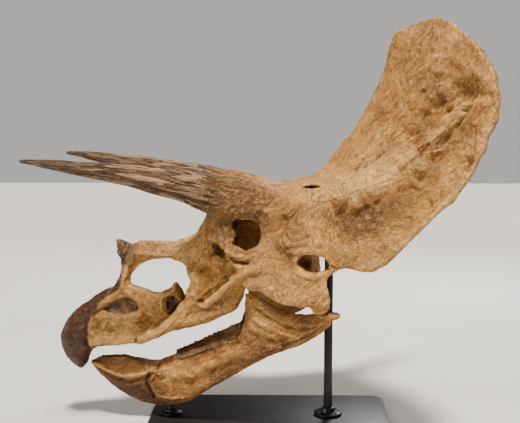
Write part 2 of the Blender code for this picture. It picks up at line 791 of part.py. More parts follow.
def inset_outline(outline, distance):
    """The outline drawn in by a distance all round."""
    points = np.array(outline, float)
    ahead = np.roll(points, -1, axis=0) - points
    area = np.sum(points[:, 0] * np.roll(points[:, 1], -1) - np.roll(points[:, 0], -1) * points[:, 1])
    inward = np.stack([-ahead[:, 1], ahead[:, 0]], axis=1) * np.sign(area)
    inward /= np.linalg.norm(inward, axis=1, keepdims=True)
    before = np.roll(inward, 1, axis=0)
    corner = inward + before
    return points + distance * corner / (0.5 * np.sum(corner * corner, axis=1, keepdims=True))


def carve(whole, name, outline, span):
    """Cuts one named piece out of the whole, leaving a thin gap between the two."""
    piece = bpy.data.objects.new(name, whole.data.copy())
    bpy.context.scene.collection.objects.link(piece)
    low, high = span
    region = prism("region", inset_outline(outline, CUT_GAP), (low + CUT_GAP, high - CUT_GAP))
    boolean(piece, region, "INTERSECT")
    bpy.data.objects.remove(region)
    cut(whole, prism("region", outline, span))
    return largest_surface(piece)


def carve_all(whole, regions):
    pieces = []
    for name, outline, width in regions:
        if isinstance(width, tuple):
            low, high = width
            pieces.append(carve(whole, name + "_left", outline, (-high, -low)))
            pieces.append(carve(whole, name + "_right", outline, (low, high)))
        else:
            pieces.append(carve(whole, name, outline, (-width, width)))
    return pieces


def post(name, place, grow=0.0):
    """An upright rod on the base, or the hole it stands in when grown."""
    bottom = BASE["thickness"] + CUT_GAP - grow
    height = place["top"] + grow - bottom
    bm = bmesh.new()
    radius = place["radius"] + grow
    bmesh.ops.create_cone(
        bm, cap_ends=True, segments=POST_SIDES, radius1=radius, radius2=radius, depth=height
    )
    bm.transform(Matrix.Translation((place["x"], 0, bottom + height / 2)))
    return object_from(bm, name)


def stand():
    bm = bmesh.new()
    bmesh.ops.create_cube(bm, size=1.0)
    bm.transform(Matrix.Diagonal((BASE["length"], BASE["width"], BASE["thickness"], 1.0)))
    upright = [e for e in bm.edges if abs(e.verts[0].co.z - e.verts[1].co.z) > BASE["thickness"] / 2]
    bmesh.ops.bevel(bm, geom=upright, offset=BASE["corner"], segments=6, affect="EDGES", profile=0.5)
    bm.transform(Matrix.Translation((BASE["x"], 0, BASE["thickness"] / 2)))
    return [
        object_from(bm, "stand_base"),
        post("stand_post_rear", REAR_POST),
        post("stand_post_front", FRONT_POST),
    ]


def main():
    clear_scene()
    materials = {name: new_material(name) for name in COLOURS}
    skull = upper_skull()
    pieces = carve_all(skull, SKULL_REGIONS)
    skull.name = "cranium"
    pieces.append(largest_surface(skull))
    jaw = lower_jaw()
    pieces += carve_all(jaw, JAW_REGIONS)
    bpy.data.objects.remove(jaw)
    pieces += stand()
    model = new_collection("horned_dinosaur_skull")
    for piece in pieces:
        slot = next((s for start, s in SLOT_OF.items() if piece.name.startswith(start)), "bone")
        piece.data.materials.clear()
        piece.data.materials.append(materials[slot])
        for old in list(piece.users_collection):
            old.objects.unlink(piece)
        model.objects.link(piece)


main()
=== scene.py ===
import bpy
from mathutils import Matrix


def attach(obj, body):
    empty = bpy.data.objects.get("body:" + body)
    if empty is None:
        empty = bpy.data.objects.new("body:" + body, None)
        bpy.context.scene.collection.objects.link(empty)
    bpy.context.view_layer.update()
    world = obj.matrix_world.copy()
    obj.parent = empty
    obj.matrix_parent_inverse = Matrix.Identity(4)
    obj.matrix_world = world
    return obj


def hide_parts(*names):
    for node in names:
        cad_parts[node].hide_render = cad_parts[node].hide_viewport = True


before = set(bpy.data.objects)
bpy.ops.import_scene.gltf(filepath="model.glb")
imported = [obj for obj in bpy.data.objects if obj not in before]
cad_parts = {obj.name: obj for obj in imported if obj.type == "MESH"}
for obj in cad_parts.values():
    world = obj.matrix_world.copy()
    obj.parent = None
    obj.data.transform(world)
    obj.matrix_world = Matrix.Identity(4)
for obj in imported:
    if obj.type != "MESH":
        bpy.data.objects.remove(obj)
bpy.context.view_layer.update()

import itertools
import math

import bmesh
import bpy
import numpy as np
from mathutils import Matrix, Vector

build = {
    "skullVoxel": 0.0054,
    "jawVoxel": 0.004,
    "gap": 0.00035,  # between neighbouring bones
    "sharpAngle": 50,
}
collection = bpy.context.scene.collection


# camera, light and floor

view = {
    "place": (0.105, -4.0, 1.35),
    "right": (0.99981, 0.01945, 0.0),
    "up": (-0.00205, 0.10537, 0.99443),
    "forward": (-0.01934, 0.99424, -0.10539),
    "lens": 63.69,
}
studio = {
    # one lamp from above and one from the front pass the horns, whose shadow stays off the nose
    "top": {"from": (0.04, -0.40, 1.00), "strength": 7.0, "spread": 9, "colour": (1.0, 0.94, 0.86)},
    "front": {"from": (-0.95, -0.60, 0.42), "strength": 1.2, "spread": 14, "colour": (1.0, 0.95, 0.88)},
    "fill": {
        "place": (3.4, -4.0, 1.8), "aim": (0.1, 0, 0.8), "size": 3.0, "watts": 12,
        "colour": (1.0, 0.95, 0.90),
    },
    "back": {
        "place": (1.6, 3.8, 3.0), "aim": (0.2, 0, 1.0), "size": 2.4, "watts": 150,
        "colour": (1.0, 0.97, 0.93),
    },
    "world": (0.82, 0.80, 0.78),
    "worldLight": 0.09,
    "worldSeen": 0.62,
    "floorReach": 14,
}


def makeCamera():
    data = bpy.data.cameras.new("camera")
    data.sensor_width = 36
    data.lens = view["lens"]
    camera = bpy.data.objects.new("camera", data)
    collection.objects.link(camera)
    right, up, forward = (Vector(view[k]) for k in ("right", "up", "forward"))
    turn = Matrix((right, up, -forward)).transposed().to_4x4()
    camera.matrix_world = Matrix.Translation(view["place"]) @ turn
    bpy.context.scene.camera = camera


def makeLights():
    for name in ("top", "front"):
        values = studio[name]
        data = bpy.data.lights.new(name, "SUN")
        data.energy = values["strength"]
        data.angle = math.radians(values["spread"])
        data.color = values["colour"]
        lamp = bpy.data.objects.new(name, data)
        lamp.rotation_euler = (-Vector(values["from"])).to_track_quat("-Z", "Y").to_euler()
        collection.objects.link(lamp)
    for name in ("fill", "back"):
        values = studio[name]
        data = bpy.data.lights.new(name, "AREA")
        data.shape = "DISK"
        data.size = values["size"]
        data.energy = values["watts"]
        data.color = values["colour"]
        lamp = bpy.data.objects.new(name, data)
        lamp.location = values["place"]
        toward = Vector(values["aim"]) - Vector(values["place"])
        lamp.rotation_euler = toward.to_track_quat("-Z", "Y").to_euler()
        collection.objects.link(lamp)
    # the room lights the object less than it shows
    world = bpy.data.worlds.new("studio")
    world.use_nodes = True
    tree = world.node_tree
    background = tree.nodes["Background"]
    background.inputs["Color"].default_value = (*studio["world"], 1)
    path = tree.nodes.new("ShaderNodeLightPath")
    power = tree.nodes.new("ShaderNodeMapRange")
    power.inputs["To Min"].default_value = studio["worldLight"]
    power.inputs["To Max"].default_value = studio["worldSeen"]
    tree.links.new(path.outputs["Is Camera Ray"], power.inputs["Value"])
    tree.links.new(power.outputs["Result"], background.inputs["Strength"])
    bpy.context.scene.world = world


# shader expressions

class Value:
    # a shader socket that sums can be written with
    def __init__(self, shader, socket):
        self.shader, self.socket = shader, socket

    def sum(self, operation, *others, clamp=False):
        return self.shader.add(
            "ShaderNodeMath", {"operation": operation, "use_clamp": clamp}, dict(enumerate(others))
        )

    def __add__(self, other):
        return self.sum("ADD", self, other)

    def __radd__(self, other):
        return self.sum("ADD", other, self)

    def __sub__(self, other):
        return self.sum("SUBTRACT", self, other)

    def __rsub__(self, other):
        return self.sum("SUBTRACT", other, self)

    def __mul__(self, other):
        return self.sum("MULTIPLY", self, other)

    def __rmul__(self, other):
        return self.sum("MULTIPLY", other, self)

    def __abs__(self):
        return self.sum("ABSOLUTE", self)

    def between(self, low, high):
        # 0 at low, 1 at high, and level beyond
        return self.sum("MULTIPLY_ADD", self, 1 / (high - low), -low / (high - low), clamp=True)

    def most(self, other):
        return self.sum("MAXIMUM", self, other)


class Shader:
    def __init__(self, name, **constants):
        self.material = bpy.data.materials.new(name)
        self.material.use_nodes = True
        self.tree = self.material.node_tree
        self.main = self.tree.nodes["Principled BSDF"]
        for key, value in constants.items():
            self.main.inputs[key.replace("_", " ")].default_value = value

    def add(self, kind, settings=None, inputs=None, output=0):
        item = self.tree.nodes.new(kind)
        for key, value in (settings or {}).items():
            setattr(item, key, value)
        for key, value in (inputs or {}).items():
            if isinstance(value, Value):
                self.tree.links.new(value.socket, item.inputs[key])
            else:
                item.inputs[key].default_value = value
        return Value(self, item.outputs[output])

    def place(self):
        return self.add("ShaderNodeTexCoord", output="Object")

    def attribute(self, name, output="Fac"):
        return self.add("ShaderNodeAttribute", {"attribute_name": name}, output=output)

    def stretched(self, vector, scale, move=(0, 0, 0)):
        return self.add("ShaderNodeMapping", inputs={"Vector": vector, "Scale": scale, "Location": move})

    def noise(self, vector, scale, detail, rough, bend=0.0):
        return self.add("ShaderNodeTexNoise", inputs={
            "Vector": vector, "Scale": scale, "Detail": detail, "Roughness": rough, "Distortion": bend,
        })

    def cells(self, vector, scale):
        return self.add("ShaderNodeTexVoronoi", {"feature": "F1"}, {
            "Vector": vector, "Scale": scale, "Randomness": 1.0,
        })

    def mix(self, share, first, second, blend="MIX"):
        # inputs 6 and 7 are the two colours, output 2 is the mixed one
        colours = {6: first, 7: second}
        colours = {k: c if isinstance(c, Value) else (*c, 1) for k, c in colours.items()}
        settings = {"data_type": "RGBA", "blend_type": blend}
        return self.add("ShaderNodeMix", settings, {0: share, **colours}, 2)

    def bump(self, height, distance, strength):
        return self.add("ShaderNodeBump", inputs={
            "Height": height, "Distance": distance, "Strength": strength,
        })

    def finish(self, **links):
        for key, value in links.items():
            self.tree.links.new(value.socket, self.main.inputs[key.replace("_", " ")])
        return self.material


# mesh helpers

def newObject(name, mesh):
    made = bpy.data.objects.new(name, mesh)
    collection.objects.link(made)
    return made


def meshFrom(name, points, faces):
    mesh = bpy.data.meshes.new(name)
    mesh.from_pydata([tuple(p) for p in points], [], [tuple(f) for f in faces])
    mesh.update()
    return newObject(name, mesh)


def coordsOf(mesh):
    flat = np.empty(len(mesh.vertices) * 3, np.float32)
    mesh.vertices.foreach_get("co", flat)
    return flat.reshape(-1, 3).astype(float)


def setCoords(mesh, points):
    mesh.vertices.foreach_set("co", np.ascontiguousarray(points, np.float32).ravel())
    mesh.update()


def normalsOf(mesh):
    flat = np.empty(len(mesh.vertices) * 3, np.float32)
    mesh.vertex_normals.foreach_get("vector", flat)
    return flat.reshape(-1, 3).astype(float)


def edgesOf(mesh):
    flat = np.empty(len(mesh.edges) * 2, np.int32)
    mesh.edges.foreach_get("vertices", flat)
    return flat.reshape(-1, 2)


def applied(item):
    # the mesh that the modifiers make, kept in place of them
    graph = bpy.context.evaluated_depsgraph_get()
    mesh = bpy.data.meshes.new_from_object(item.evaluated_get(graph))
    item.modifiers.clear()
    item.data = mesh
    return item


def remeshed(item, voxel):
    step = item.modifiers.new("remesh", "REMESH")
    step.mode = "VOXEL"
    step.voxel_size = voxel
    return applied(item)


def boolean(item, other, operation):
    step = item.modifiers.new(operation, "BOOLEAN")
    step.operation = operation
    step.object = other
    step.solver = "MANIFOLD"
    return applied(item)


def cutBy(item, cutter):
    boolean(item, cutter, "DIFFERENCE")
    bpy.data.objects.remove(cutter)
    return item


def joined(items, name):
    bm = bmesh.new()
    for item in items:
        bm.from_mesh(item.data)
        bpy.data.objects.remove(item)
    mesh = bpy.data.meshes.new(name)
    bm.to_mesh(mesh)
    bm.free()
    return newObject(name, mesh)


def facingOut(item):
    bm = bmesh.new()
    bm.from_mesh(item.data)
    bmesh.ops.remove_doubles(bm, verts=bm.verts, dist=1e-6)
    bmesh.ops.recalc_face_normals(bm, faces=bm.faces)
    bm.to_mesh(item.data)
    bm.free()
    return item


def between(points, position):
    # a point on the smooth curve through the points, from 0 to 1
    points = np.asarray(points, float)
    last = len(points) - 1
    place = min(max(position, 0.0), 1.0) * last
    first = min(int(place), last - 1)
    t = place - first
    before = points[first - 1] if first > 0 else 2 * points[0] - points[1]
    after = points[first + 2] if first + 2 <= last else 2 * points[last] - points[last - 1]
    a, b = points[first], points[first + 1]
    return 0.5 * (
        2 * a + (b - before) * t + (2 * before - 5 * a + 4 * b - after) * t**2
        + (3 * a - before - 3 * b + after) * t**3
    )


def smoothOutline(points, steps=4):
    points = [np.asarray(p, float) for p in points]
    line = []
    for i in range(len(points)):
        span = [points[(i + k) % len(points)] for k in (-1, 0, 1, 2)]
        line += [between(span, (1 + step / steps) / 3) for step in range(steps)]
    return np.array(line)


def loft(name, stations, sides=24, squareness=2.2, steps=3):
    # a closed body through (x, y, z, half height, half width)
    total = (len(stations) - 1) * steps
    rows = np.array([between(stations, i / total) for i in range(total + 1)])
    angles = 2 * np.pi * np.arange(sides) / sides
    across = np.sign(np.cos(angles)) * np.abs(np.cos(angles)) ** (2 / squareness)
    upward = np.sign(np.sin(angles)) * np.abs(np.sin(angles)) ** (2 / squareness)
    points = []
    for i, row in enumerate(rows):
        along = rows[min(i + 1, total), :3] - rows[max(i - 1, 0), :3]
        along /= np.linalg.norm(along)
        lateral = np.array((0, 1, 0)) - along * along[1]
        lateral /= np.linalg.norm(lateral)
        up = np.cross(lateral, along)
        points += list(row[:3] + lateral * row[4] * across[:, None] + up * row[3] * upward[:, None])
    faces = []
    for i in range(total):
        for k in range(sides):
            n = (k + 1) % sides
            faces.append((i * sides + k, i * sides + n, (i + 1) * sides + n, (i + 1) * sides + k))
    faces += [tuple(range(sides)), tuple(range(total * sides, (total + 1) * sides))]
    return facingOut(meshFrom(name, points, faces))


def prism(name, outline, span):
    # a side outline of (x, z) drawn out between two half widths
    count = len(outline)
    points = [(x, y, z) for y in span for x, z in outline]
    faces = [(i, (i + 1) % count, count + (i + 1) % count, count + i) for i in range(count)]
    made = meshFrom(name, points, faces + [tuple(range(count)), tuple(range(count, 2 * count))])
    bm = bmesh.new()
    bm.from_mesh(made.data)
    bmesh.ops.triangulate(bm, faces=[f for f in bm.faces if len(f.verts) > 4])
    bmesh.ops.recalc_face_normals(bm, faces=bm.faces)
    bm.to_mesh(made.data)
    bm.free()
    return made


def ellipsoid(name, centre, half, tilt=0.0, swing=0.0):
    bm = bmesh.new()
    bmesh.ops.create_uvsphere(bm, u_segments=40, v_segments=24, radius=1.0)
    turn = Matrix.Rotation(math.radians(swing), 4, "Z") @ Matrix.Rotation(math.radians(tilt), 4, "Y")
    bm.transform(Matrix.Translation(centre) @ turn @ Matrix.Diagonal((*half, 1.0)))
    mesh = bpy.data.meshes.new(name)
    bm.to_mesh(mesh)
    bm.free()
    return newObject(name, mesh)


def distanceToLine(points, line, closed=True):
    best = np.full(len(points), 1e9)
    ends = np.roll(line, -1, axis=0) if closed else line[1:]
    for a, b in zip(line, ends):
        span = b - a
        share = np.clip(((points - a) @ span) / max(span @ span, 1e-12), 0, 1)
        best = np.minimum(best, np.linalg.norm(points - a - share[:, None] * span, axis=1))
    return best


def insideOutline(points, outline):
    # which (x, z) points lie within a closed outline
    inside = np.zeros(len(points), bool)
    for (ax, az), (bx, bz) in zip(outline, np.roll(outline, -1, axis=0)):
        crosses = (az > points[:, 1]) != (bz > points[:, 1])
        with np.errstate(divide="ignore", invalid="ignore"):
            edge = ax + (points[:, 1] - az) * (bx - ax) / (bz - az)
        inside ^= crosses & (points[:, 0] < edge)
    return inside


def patternAt(points, seed):
    # smooth noise from -1 to 1
    cell = np.floor(points).astype(np.int64)
    part = points - cell
    part = part * part * (3 - 2 * part)
    total = np.zeros(len(points))
    for corner in itertools.product((0, 1), repeat=3):
        key = cell + np.array(corner)
        mixed = key[:, 0] * 374761393 + key[:, 1] * 668265263 + key[:, 2] * 974634781 + seed * 144269
        mixed = (mixed ^ (mixed >> 13)) * 1274126177
        mixed = ((mixed ^ (mixed >> 16)) & 0xFFFF) / 32767.5 - 1
        total += mixed * np.prod(np.where(corner, part, 1 - part), axis=1)
    return total


def roughness(points, size, layers, seed):
    total, share = np.zeros(len(points)), 1.0
    for layer in range(layers):
        total += share * patternAt(points / size * 2**layer + 7.3 * layer, seed + layer)
        share *= 0.5
    return total


def averaged(values, edges, count, times):
    # values spread over neighbouring vertices, a number of times
    degree = np.maximum(np.bincount(edges.ravel(), minlength=count), 1)
    a, b = edges[:, 0], edges[:, 1]
    values = values.copy()
    for _ in range(times):
        for k in range(values.shape[1]):
            near = np.bincount(a, values[b, k], count) + np.bincount(b, values[a, k], count)
            values[:, k] = 0.5 * values[:, k] + 0.5 * near / degree
    return values


def polished(item, rounds, fill):
    # takes the voxel steps out, then fills the creases where bodies meet
    mesh = item.data
    edges, count = edgesOf(mesh), len(mesh.vertices)
    points = coordsOf(mesh)
    for _ in range(rounds):
        # a step in and nearly the same step back, so that the forms keep their size
        points = averaged(points, edges, count, 1)
        back = averaged(points, edges, count, 1)
        points -= 1.04 * (back - points)
    setCoords(mesh, points)
    for _ in range(fill):
        normals = normalsOf(mesh)
        push = np.einsum("ij,ij->i", averaged(points, edges, count, 1) - points, normals)
        points += normals * np.maximum(push, 0)[:, None] * 1.6
        setCoords(mesh, points)
    points = averaged(points, edges, count, 2)
    setCoords(mesh, points)
    return item


def setAttribute(mesh, name, values):
    kind = "FLOAT" if values.ndim == 1 else "FLOAT_VECTOR"
    layer = mesh.attributes.new(name, kind, "POINT")
    layer.data.foreach_set("value" if values.ndim == 1 else "vector", values.astype(np.float32).ravel())


# bones as forms

frillForm = {
    "thickness": 0.032,
    "rays": (  # from the skull roof to the free edge, as (x, half width, z)
        (
            (0.136, 0.00, 1.046), (0.279, 0.00, 1.088), (0.430, 0.00, 1.250), (0.562, 0.00, 1.505),
            (0.622, 0.00, 1.700),
        ),
        (
            (0.135, 0.10, 1.034), (0.315, 0.14, 1.064), (0.493, 0.19, 1.236), (0.642, 0.21, 1.478),
            (0.750, 0.21, 1.736),
        ),
        (
            (0.147, 0.17, 1.009), (0.336, 0.22, 1.038), (0.534, 0.27, 1.180), (0.700, 0.32, 1.410),
            (0.840, 0.37, 1.655),
        ),
        (
            (0.155, 0.22, 0.977), (0.335, 0.288, 1.027), (0.541, 0.348, 1.105), (0.741, 0.417, 1.302),
            (0.897, 0.54, 1.527),
        ),
        (
            (0.195, 0.30, 0.875), (0.396, 0.366, 0.895), (0.582, 0.436, 0.994), (0.774, 0.518, 1.173),
            (0.914, 0.60, 1.415),
        ),
        (
            (0.281, 0.38, 0.790), (0.473, 0.45, 0.739), (0.627, 0.545, 0.900), (0.811, 0.61, 1.120),
            (0.898, 0.62, 1.336),
        ),
    ),
}
hornForm = {
    "path": (  # (x, half width, z, radius) from inside the brow to the tip
        (0.110, 0.150, 0.955, 0.080), (0.014, 0.165, 0.967, 0.103), (-0.061, 0.185, 0.989, 0.099),
        (-0.151, 0.210, 1.017, 0.088), (-0.295, 0.260, 1.058, 0.066), (-0.450, 0.310, 1.094, 0.051),
        (-0.604, 0.350, 1.121, 0.038), (-0.755, 0.385, 1.146, 0.025), (-0.915, 0.400, 1.167, 0.010),
    ),
}
middleForms = {  # on the midline, as (x, z, half height, half width)
    "braincase": (
        (-0.290, 0.745, 0.045, 0.075), (-0.235, 0.755, 0.075, 0.098), (-0.165, 0.765, 0.110, 0.115),
        (-0.080, 0.810, 0.150, 0.105), (0.025, 0.870, 0.150, 0.100), (0.157, 0.905, 0.130, 0.120),
        (0.290, 0.940, 0.110, 0.120), (0.400, 0.900, 0.070, 0.080),
    ),
    "roof": (
        (-0.150, 0.930, 0.035, 0.100), (-0.080, 0.980, 0.050, 0.140), (0.040, 1.000, 0.055, 0.180),
        (0.160, 1.003, 0.052, 0.190), (0.270, 1.040, 0.040, 0.170),
    ),
    "nasal": (
        (-0.582, 0.752, 0.030, 0.028), (-0.530, 0.750, 0.040, 0.050), (-0.404, 0.752, 0.036, 0.072),
        (-0.320, 0.750, 0.038, 0.084), (-0.240, 0.765, 0.064, 0.095), (-0.150, 0.810, 0.080, 0.120),
    ),
    "noseHorn": (
        (-0.525, 0.725, 0.055, 0.045), (-0.570, 0.758, 0.040, 0.040), (-0.602, 0.806, 0.010, 0.012),
    ),
    "noseStrut": (
        (-0.545, 0.725, 0.042, 0.036), (-0.555, 0.680, 0.032, 0.032), (-0.568, 0.640, 0.028, 0.032),
        (-0.580, 0.590, 0.034, 0.036),
    ),
    "palate": (
        (-0.640, 0.370, 0.025, 0.035), (-0.500, 0.390, 0.030, 0.058), (-0.400, 0.425, 0.030, 0.080),
        (-0.300, 0.475, 0.028, 0.095), (-0.210, 0.530, 0.022, 0.100),
    ),
}
plates = {  # side outline (x, z), half width of the middle (x, y), half thickness and edge rounding
    "rostral": {
        "outline": (
            (-0.600, 0.595), (-0.679, 0.563), (-0.734, 0.524), (-0.788, 0.486), (-0.827, 0.442),
            (-0.849, 0.398), (-0.855, 0.354), (-0.847, 0.309), (-0.826, 0.271), (-0.799, 0.244),
            (-0.772, 0.222), (-0.748, 0.244), (-0.732, 0.285), (-0.714, 0.310), (-0.684, 0.318),
            (-0.620, 0.324), (-0.510, 0.345), (-0.520, 0.385), (-0.640, 0.400), (-0.660, 0.480),
            (-0.640, 0.530),
        ),
        "lateral": ((-1.0, 0.0), (1.0, 0.0)), "half": 0.060, "rounding": 0.085,
    },
    "premaxilla": {
        "outline": (
            (-0.690, 0.338), (-0.720, 0.420), (-0.690, 0.500), (-0.610, 0.595), (-0.540, 0.620),
            (-0.480, 0.590), (-0.436, 0.570), (-0.393, 0.575), (-0.366, 0.595), (-0.341, 0.620),
            (-0.320, 0.585), (-0.290, 0.535), (-0.290, 0.470), (-0.380, 0.390), (-0.471, 0.352),
            (-0.565, 0.331), (-0.630, 0.329),
        ),
        "lateral": ((-1.0, 0.0), (1.0, 0.0)), "half": 0.046, "rounding": 0.030,
    },
    "maxilla": {
        "outline": (
            (-0.520, 0.340), (-0.471, 0.350), (-0.401, 0.382), (-0.356, 0.410), (-0.312, 0.421),
            (-0.259, 0.438), (-0.193, 0.464), (-0.144, 0.488), (-0.093, 0.510), (-0.050, 0.558),
            (-0.028, 0.612), (0.000, 0.680), (-0.010, 0.760), (-0.110, 0.800), (-0.200, 0.760),
            (-0.270, 0.720), (-0.285, 0.610), (-0.300, 0.540), (-0.360, 0.470), (-0.450, 0.410),
        ),
        "lateral": ((-0.520, 0.040), (-0.400, 0.072), (-0.250, 0.110), (-0.100, 0.158), (0.000, 0.200)),
        "half": 0.034, "rounding": 0.035,
    },
    "cheek": {
        "outline": (
            (-0.110, 0.770), (-0.060, 0.690), (-0.034, 0.636), (0.029, 0.636), (0.058, 0.619),
            (0.111, 0.592), (0.163, 0.582), (0.229, 0.584), (0.280, 0.585), (0.311, 0.607),
            (0.312, 0.642), (0.305, 0.672), (0.312, 0.704), (0.347, 0.739), (0.400, 0.765),
            (0.420, 0.840), (0.360, 0.915), (0.250, 0.960), (0.120, 0.980), (0.060, 0.940),
            (0.045, 0.850), (-0.020, 0.790),
        ),
        "half": 0.024, "rounding": 0.030,
    },
    "dentary": {
        "outline": (
            (-0.462, 0.150), (-0.450, 0.215), (-0.430, 0.255), (-0.385, 0.274), (-0.349, 0.286),
            (-0.293, 0.303), (-0.203, 0.339), (-0.145, 0.366), (-0.085, 0.388), (-0.055, 0.412),
            (-0.033, 0.470), (-0.024, 0.520), (-0.028, 0.569), (-0.032, 0.600), (0.016, 0.599),
            (0.056, 0.579), (0.090, 0.554), (0.125, 0.540), (0.179, 0.536), (0.246, 0.540),
            (0.286, 0.560), (0.322, 0.562), (0.353, 0.552), (0.356, 0.532), (0.325, 0.517),
            (0.313, 0.492), (0.273, 0.461), (0.225, 0.423), (0.159, 0.390), (0.056, 0.330),
            (-0.049, 0.261), (-0.158, 0.188), (-0.232, 0.132), (-0.265, 0.103), (-0.330, 0.078),
            (-0.400, 0.082),
        ),
        "lateral": (
            (-0.460, 0.036), (-0.300, 0.082), (-0.160, 0.136), (-0.050, 0.186), (0.050, 0.236),
            (0.160, 0.285), (0.270, 0.325), (0.356, 0.345),
        ),
        "half": 0.036, "rounding": 0.040,
    },
}
bars = {  # (x, half width, z, radius), one on each side
    "jugalRidge": (
        (-0.215, 0.135, 0.530, 0.014), (-0.130, 0.180, 0.610, 0.026), (-0.030, 0.235, 0.690, 0.034),
        (0.060, 0.275, 0.715, 0.032), (0.160, 0.325, 0.690, 0.026),
    ),
    "prefrontal": (
        (-0.340, 0.040, 0.752, 0.045), (-0.260, 0.070, 0.750, 0.062), (-0.200, 0.098, 0.780, 0.072),
        (-0.160, 0.118, 0.830, 0.078), (-0.130, 0.125, 0.880, 0.078),
    ),
    "browBar": (
        (-0.118, 0.195, 0.965, 0.034), (-0.120, 0.215, 0.900, 0.030), (-0.112, 0.228, 0.835, 0.028),
        (-0.070, 0.236, 0.780, 0.028), (-0.010, 0.245, 0.755, 0.028), (0.055, 0.255, 0.780, 0.028),
    ),
    "postorbital": (
        (0.075, 0.235, 0.960, 0.050), (0.080, 0.245, 0.880, 0.044), (0.075, 0.260, 0.800, 0.038),
        (0.060, 0.270, 0.730, 0.032),
    ),
    "quadrate": (
        (0.280, 0.160, 0.920, 0.038), (0.228, 0.270, 0.780, 0.027), (0.222, 0.325, 0.690, 0.027),
        (0.262, 0.350, 0.615, 0.036), (0.285, 0.350, 0.560, 0.034),
    ),
    "pterygoid": (
        (-0.230, 0.045, 0.548, 0.028), (-0.100, 0.050, 0.625, 0.032), (0.000, 0.062, 0.680, 0.036),
        (0.110, 0.110, 0.740, 0.040), (0.230, 0.300, 0.690, 0.026),
    ),
    "exoccipital": (
        (0.330, 0.050, 0.935, 0.050), (0.348, 0.160, 0.925, 0.042), (0.352, 0.270, 0.890, 0.036),
        (0.345, 0.360, 0.845, 0.032),
    ),
    "horn": hornForm["path"],
}
lumps = {  # centre (x, half width, z) and half sizes
    "condyle": ((0.448, 0.0, 0.880), (0.050, 0.050, 0.050)),
    "narisCorner": ((-0.262, 0.0, 0.700), (0.048, 0.090, 0.050)),
    "noseCorner": ((-0.500, 0.0, 0.705), (0.050, 0.030, 0.048)),
    "lacrimal": ((-0.098, 0.175, 0.862), (0.060, 0.080, 0.106)),
    "browFoot": ((-0.140, 0.150, 0.925), (0.060, 0.060, 0.055)),
    "hornFoot": ((0.125, 0.228, 0.965), (0.062, 0.060, 0.058)),
}
holes = {  # centre (x, half width, z), half sizes, tilt and turn
    "temple": ((0.244, 0.385, 0.757), (0.068, 0.090, 0.038), 4, 0),
    "roofSlit": ((0.250, 0.190, 1.042), (0.049, 0.075, 0.014), 4, 0),
    "cord": ((0.430, 0.0, 0.952), (0.060, 0.026, 0.024), 20, 0),
}
orbit = {
    "outline": (
        (-0.083, 0.909), (-0.058, 0.920), (-0.001, 0.918), (0.031, 0.894), (0.038, 0.851), (0.023, 0.810),
        (-0.022, 0.800), (-0.063, 0.806), (-0.077, 0.827), (-0.064, 0.858), (-0.080, 0.884),
    ),
    "span": (0.115, 0.45),
}
nostril = (
    (-0.401, 0.720), (-0.476, 0.705), (-0.517, 0.675), (-0.540, 0.629), (-0.541, 0.600),
    (-0.480, 0.575), (-0.441, 0.557), (-0.393, 0.562), (-0.366, 0.577), (-0.343, 0.610),
    (-0.322, 0.577), (-0.297, 0.535), (-0.276, 0.591), (-0.266, 0.646), (-0.274, 0.685),
    (-0.304, 0.709), (-0.349, 0.719),
)
recesses = {  # hollows in the snout still filled with rock
    "large": (
        (-0.673, 0.495), (-0.639, 0.522), (-0.586, 0.549), (-0.533, 0.547), (-0.512, 0.528),
        (-0.502, 0.501), (-0.512, 0.485), (-0.534, 0.476), (-0.620, 0.476),
    ),
    "small": (
        (-0.386, 0.553), (-0.362, 0.560), (-0.330, 0.548), (-0.318, 0.520), (-0.330, 0.492),
        (-0.365, 0.482), (-0.386, 0.505),
    ),
    "floor": 0.026,
}
jawShelf = {"inset": 0.036, "zAtFront": 0.180, "slope": 0.47, "frontX": -0.400, "depth": 0.080}
predentaryForm = (  # half sections: x, inner rim, outer ridge and keel as (y, z)
    (-0.722, (0.004, 0.256), (0.009, 0.250), (0.003, 0.243)),
    (-0.688, (0.014, 0.279), (0.028, 0.243), (0.010, 0.198)),
    (-0.640, (0.022, 0.284), (0.045, 0.220), (0.016, 0.158)),
    (-0.580, (0.028, 0.281), (0.060, 0.205), (0.022, 0.113)),
    (-0.512, (0.032, 0.268), (0.074, 0.212), (0.028, 0.079)),
    (-0.452, (0.036, 0.256), (0.080, 0.230), (0.034, 0.066)),
    (-0.405, (0.036, 0.244), (0.068, 0.205), (0.038, 0.062)),
    (-0.340, (0.018, 0.120), (0.034, 0.098), (0.022, 0.062)),
    (-0.290, (0.010, 0.104), (0.018, 0.094), (0.010, 0.076)),
)
jawJoint = {"z": 0.548, "frontX": 0.180, "backX": 0.45, "bottom": 0.40, "top": 0.70}
standForm = {
    "base": {
        "x": 0.070, "length": 1.060, "width": 0.560, "thickness": 0.016, "corner": 0.060, "edge": 0.0025,
    },
    "rear": {"x": 0.330, "radius": 0.019, "top": 0.862},
    "front": {"x": -0.370, "radius": 0.016, "top": 0.072},
}


def flatBone(name, side=1, lateral=None):
    # a bone given by its side outline, with rounded edges, set off from the middle
    shape = plates[name]
    line = smoothOutline(shape["outline"])
    slab = 0.02
    made = remeshed(prism(name, line, (-slab, slab)), 0.006)
    points = coordsOf(made.data)
    plan = points[:, [0, 2]]
    reach = np.clip(distanceToLine(plan, line) / shape["rounding"], 0.04, 1)
    half = shape["half"] * np.sqrt(1 - (1 - reach) ** 2)
    if lateral is None:
        known = np.array(shape["lateral"])
        middle = np.interp(plan[:, 0], known[:, 0], known[:, 1])
    else:
        middle = lateral(shape, plan)
    points[:, 1] = side * (middle + points[:, 1] / slab * half)
    if side < 0:
        made.data.flip_normals()
    setCoords(made.data, points)
    return made


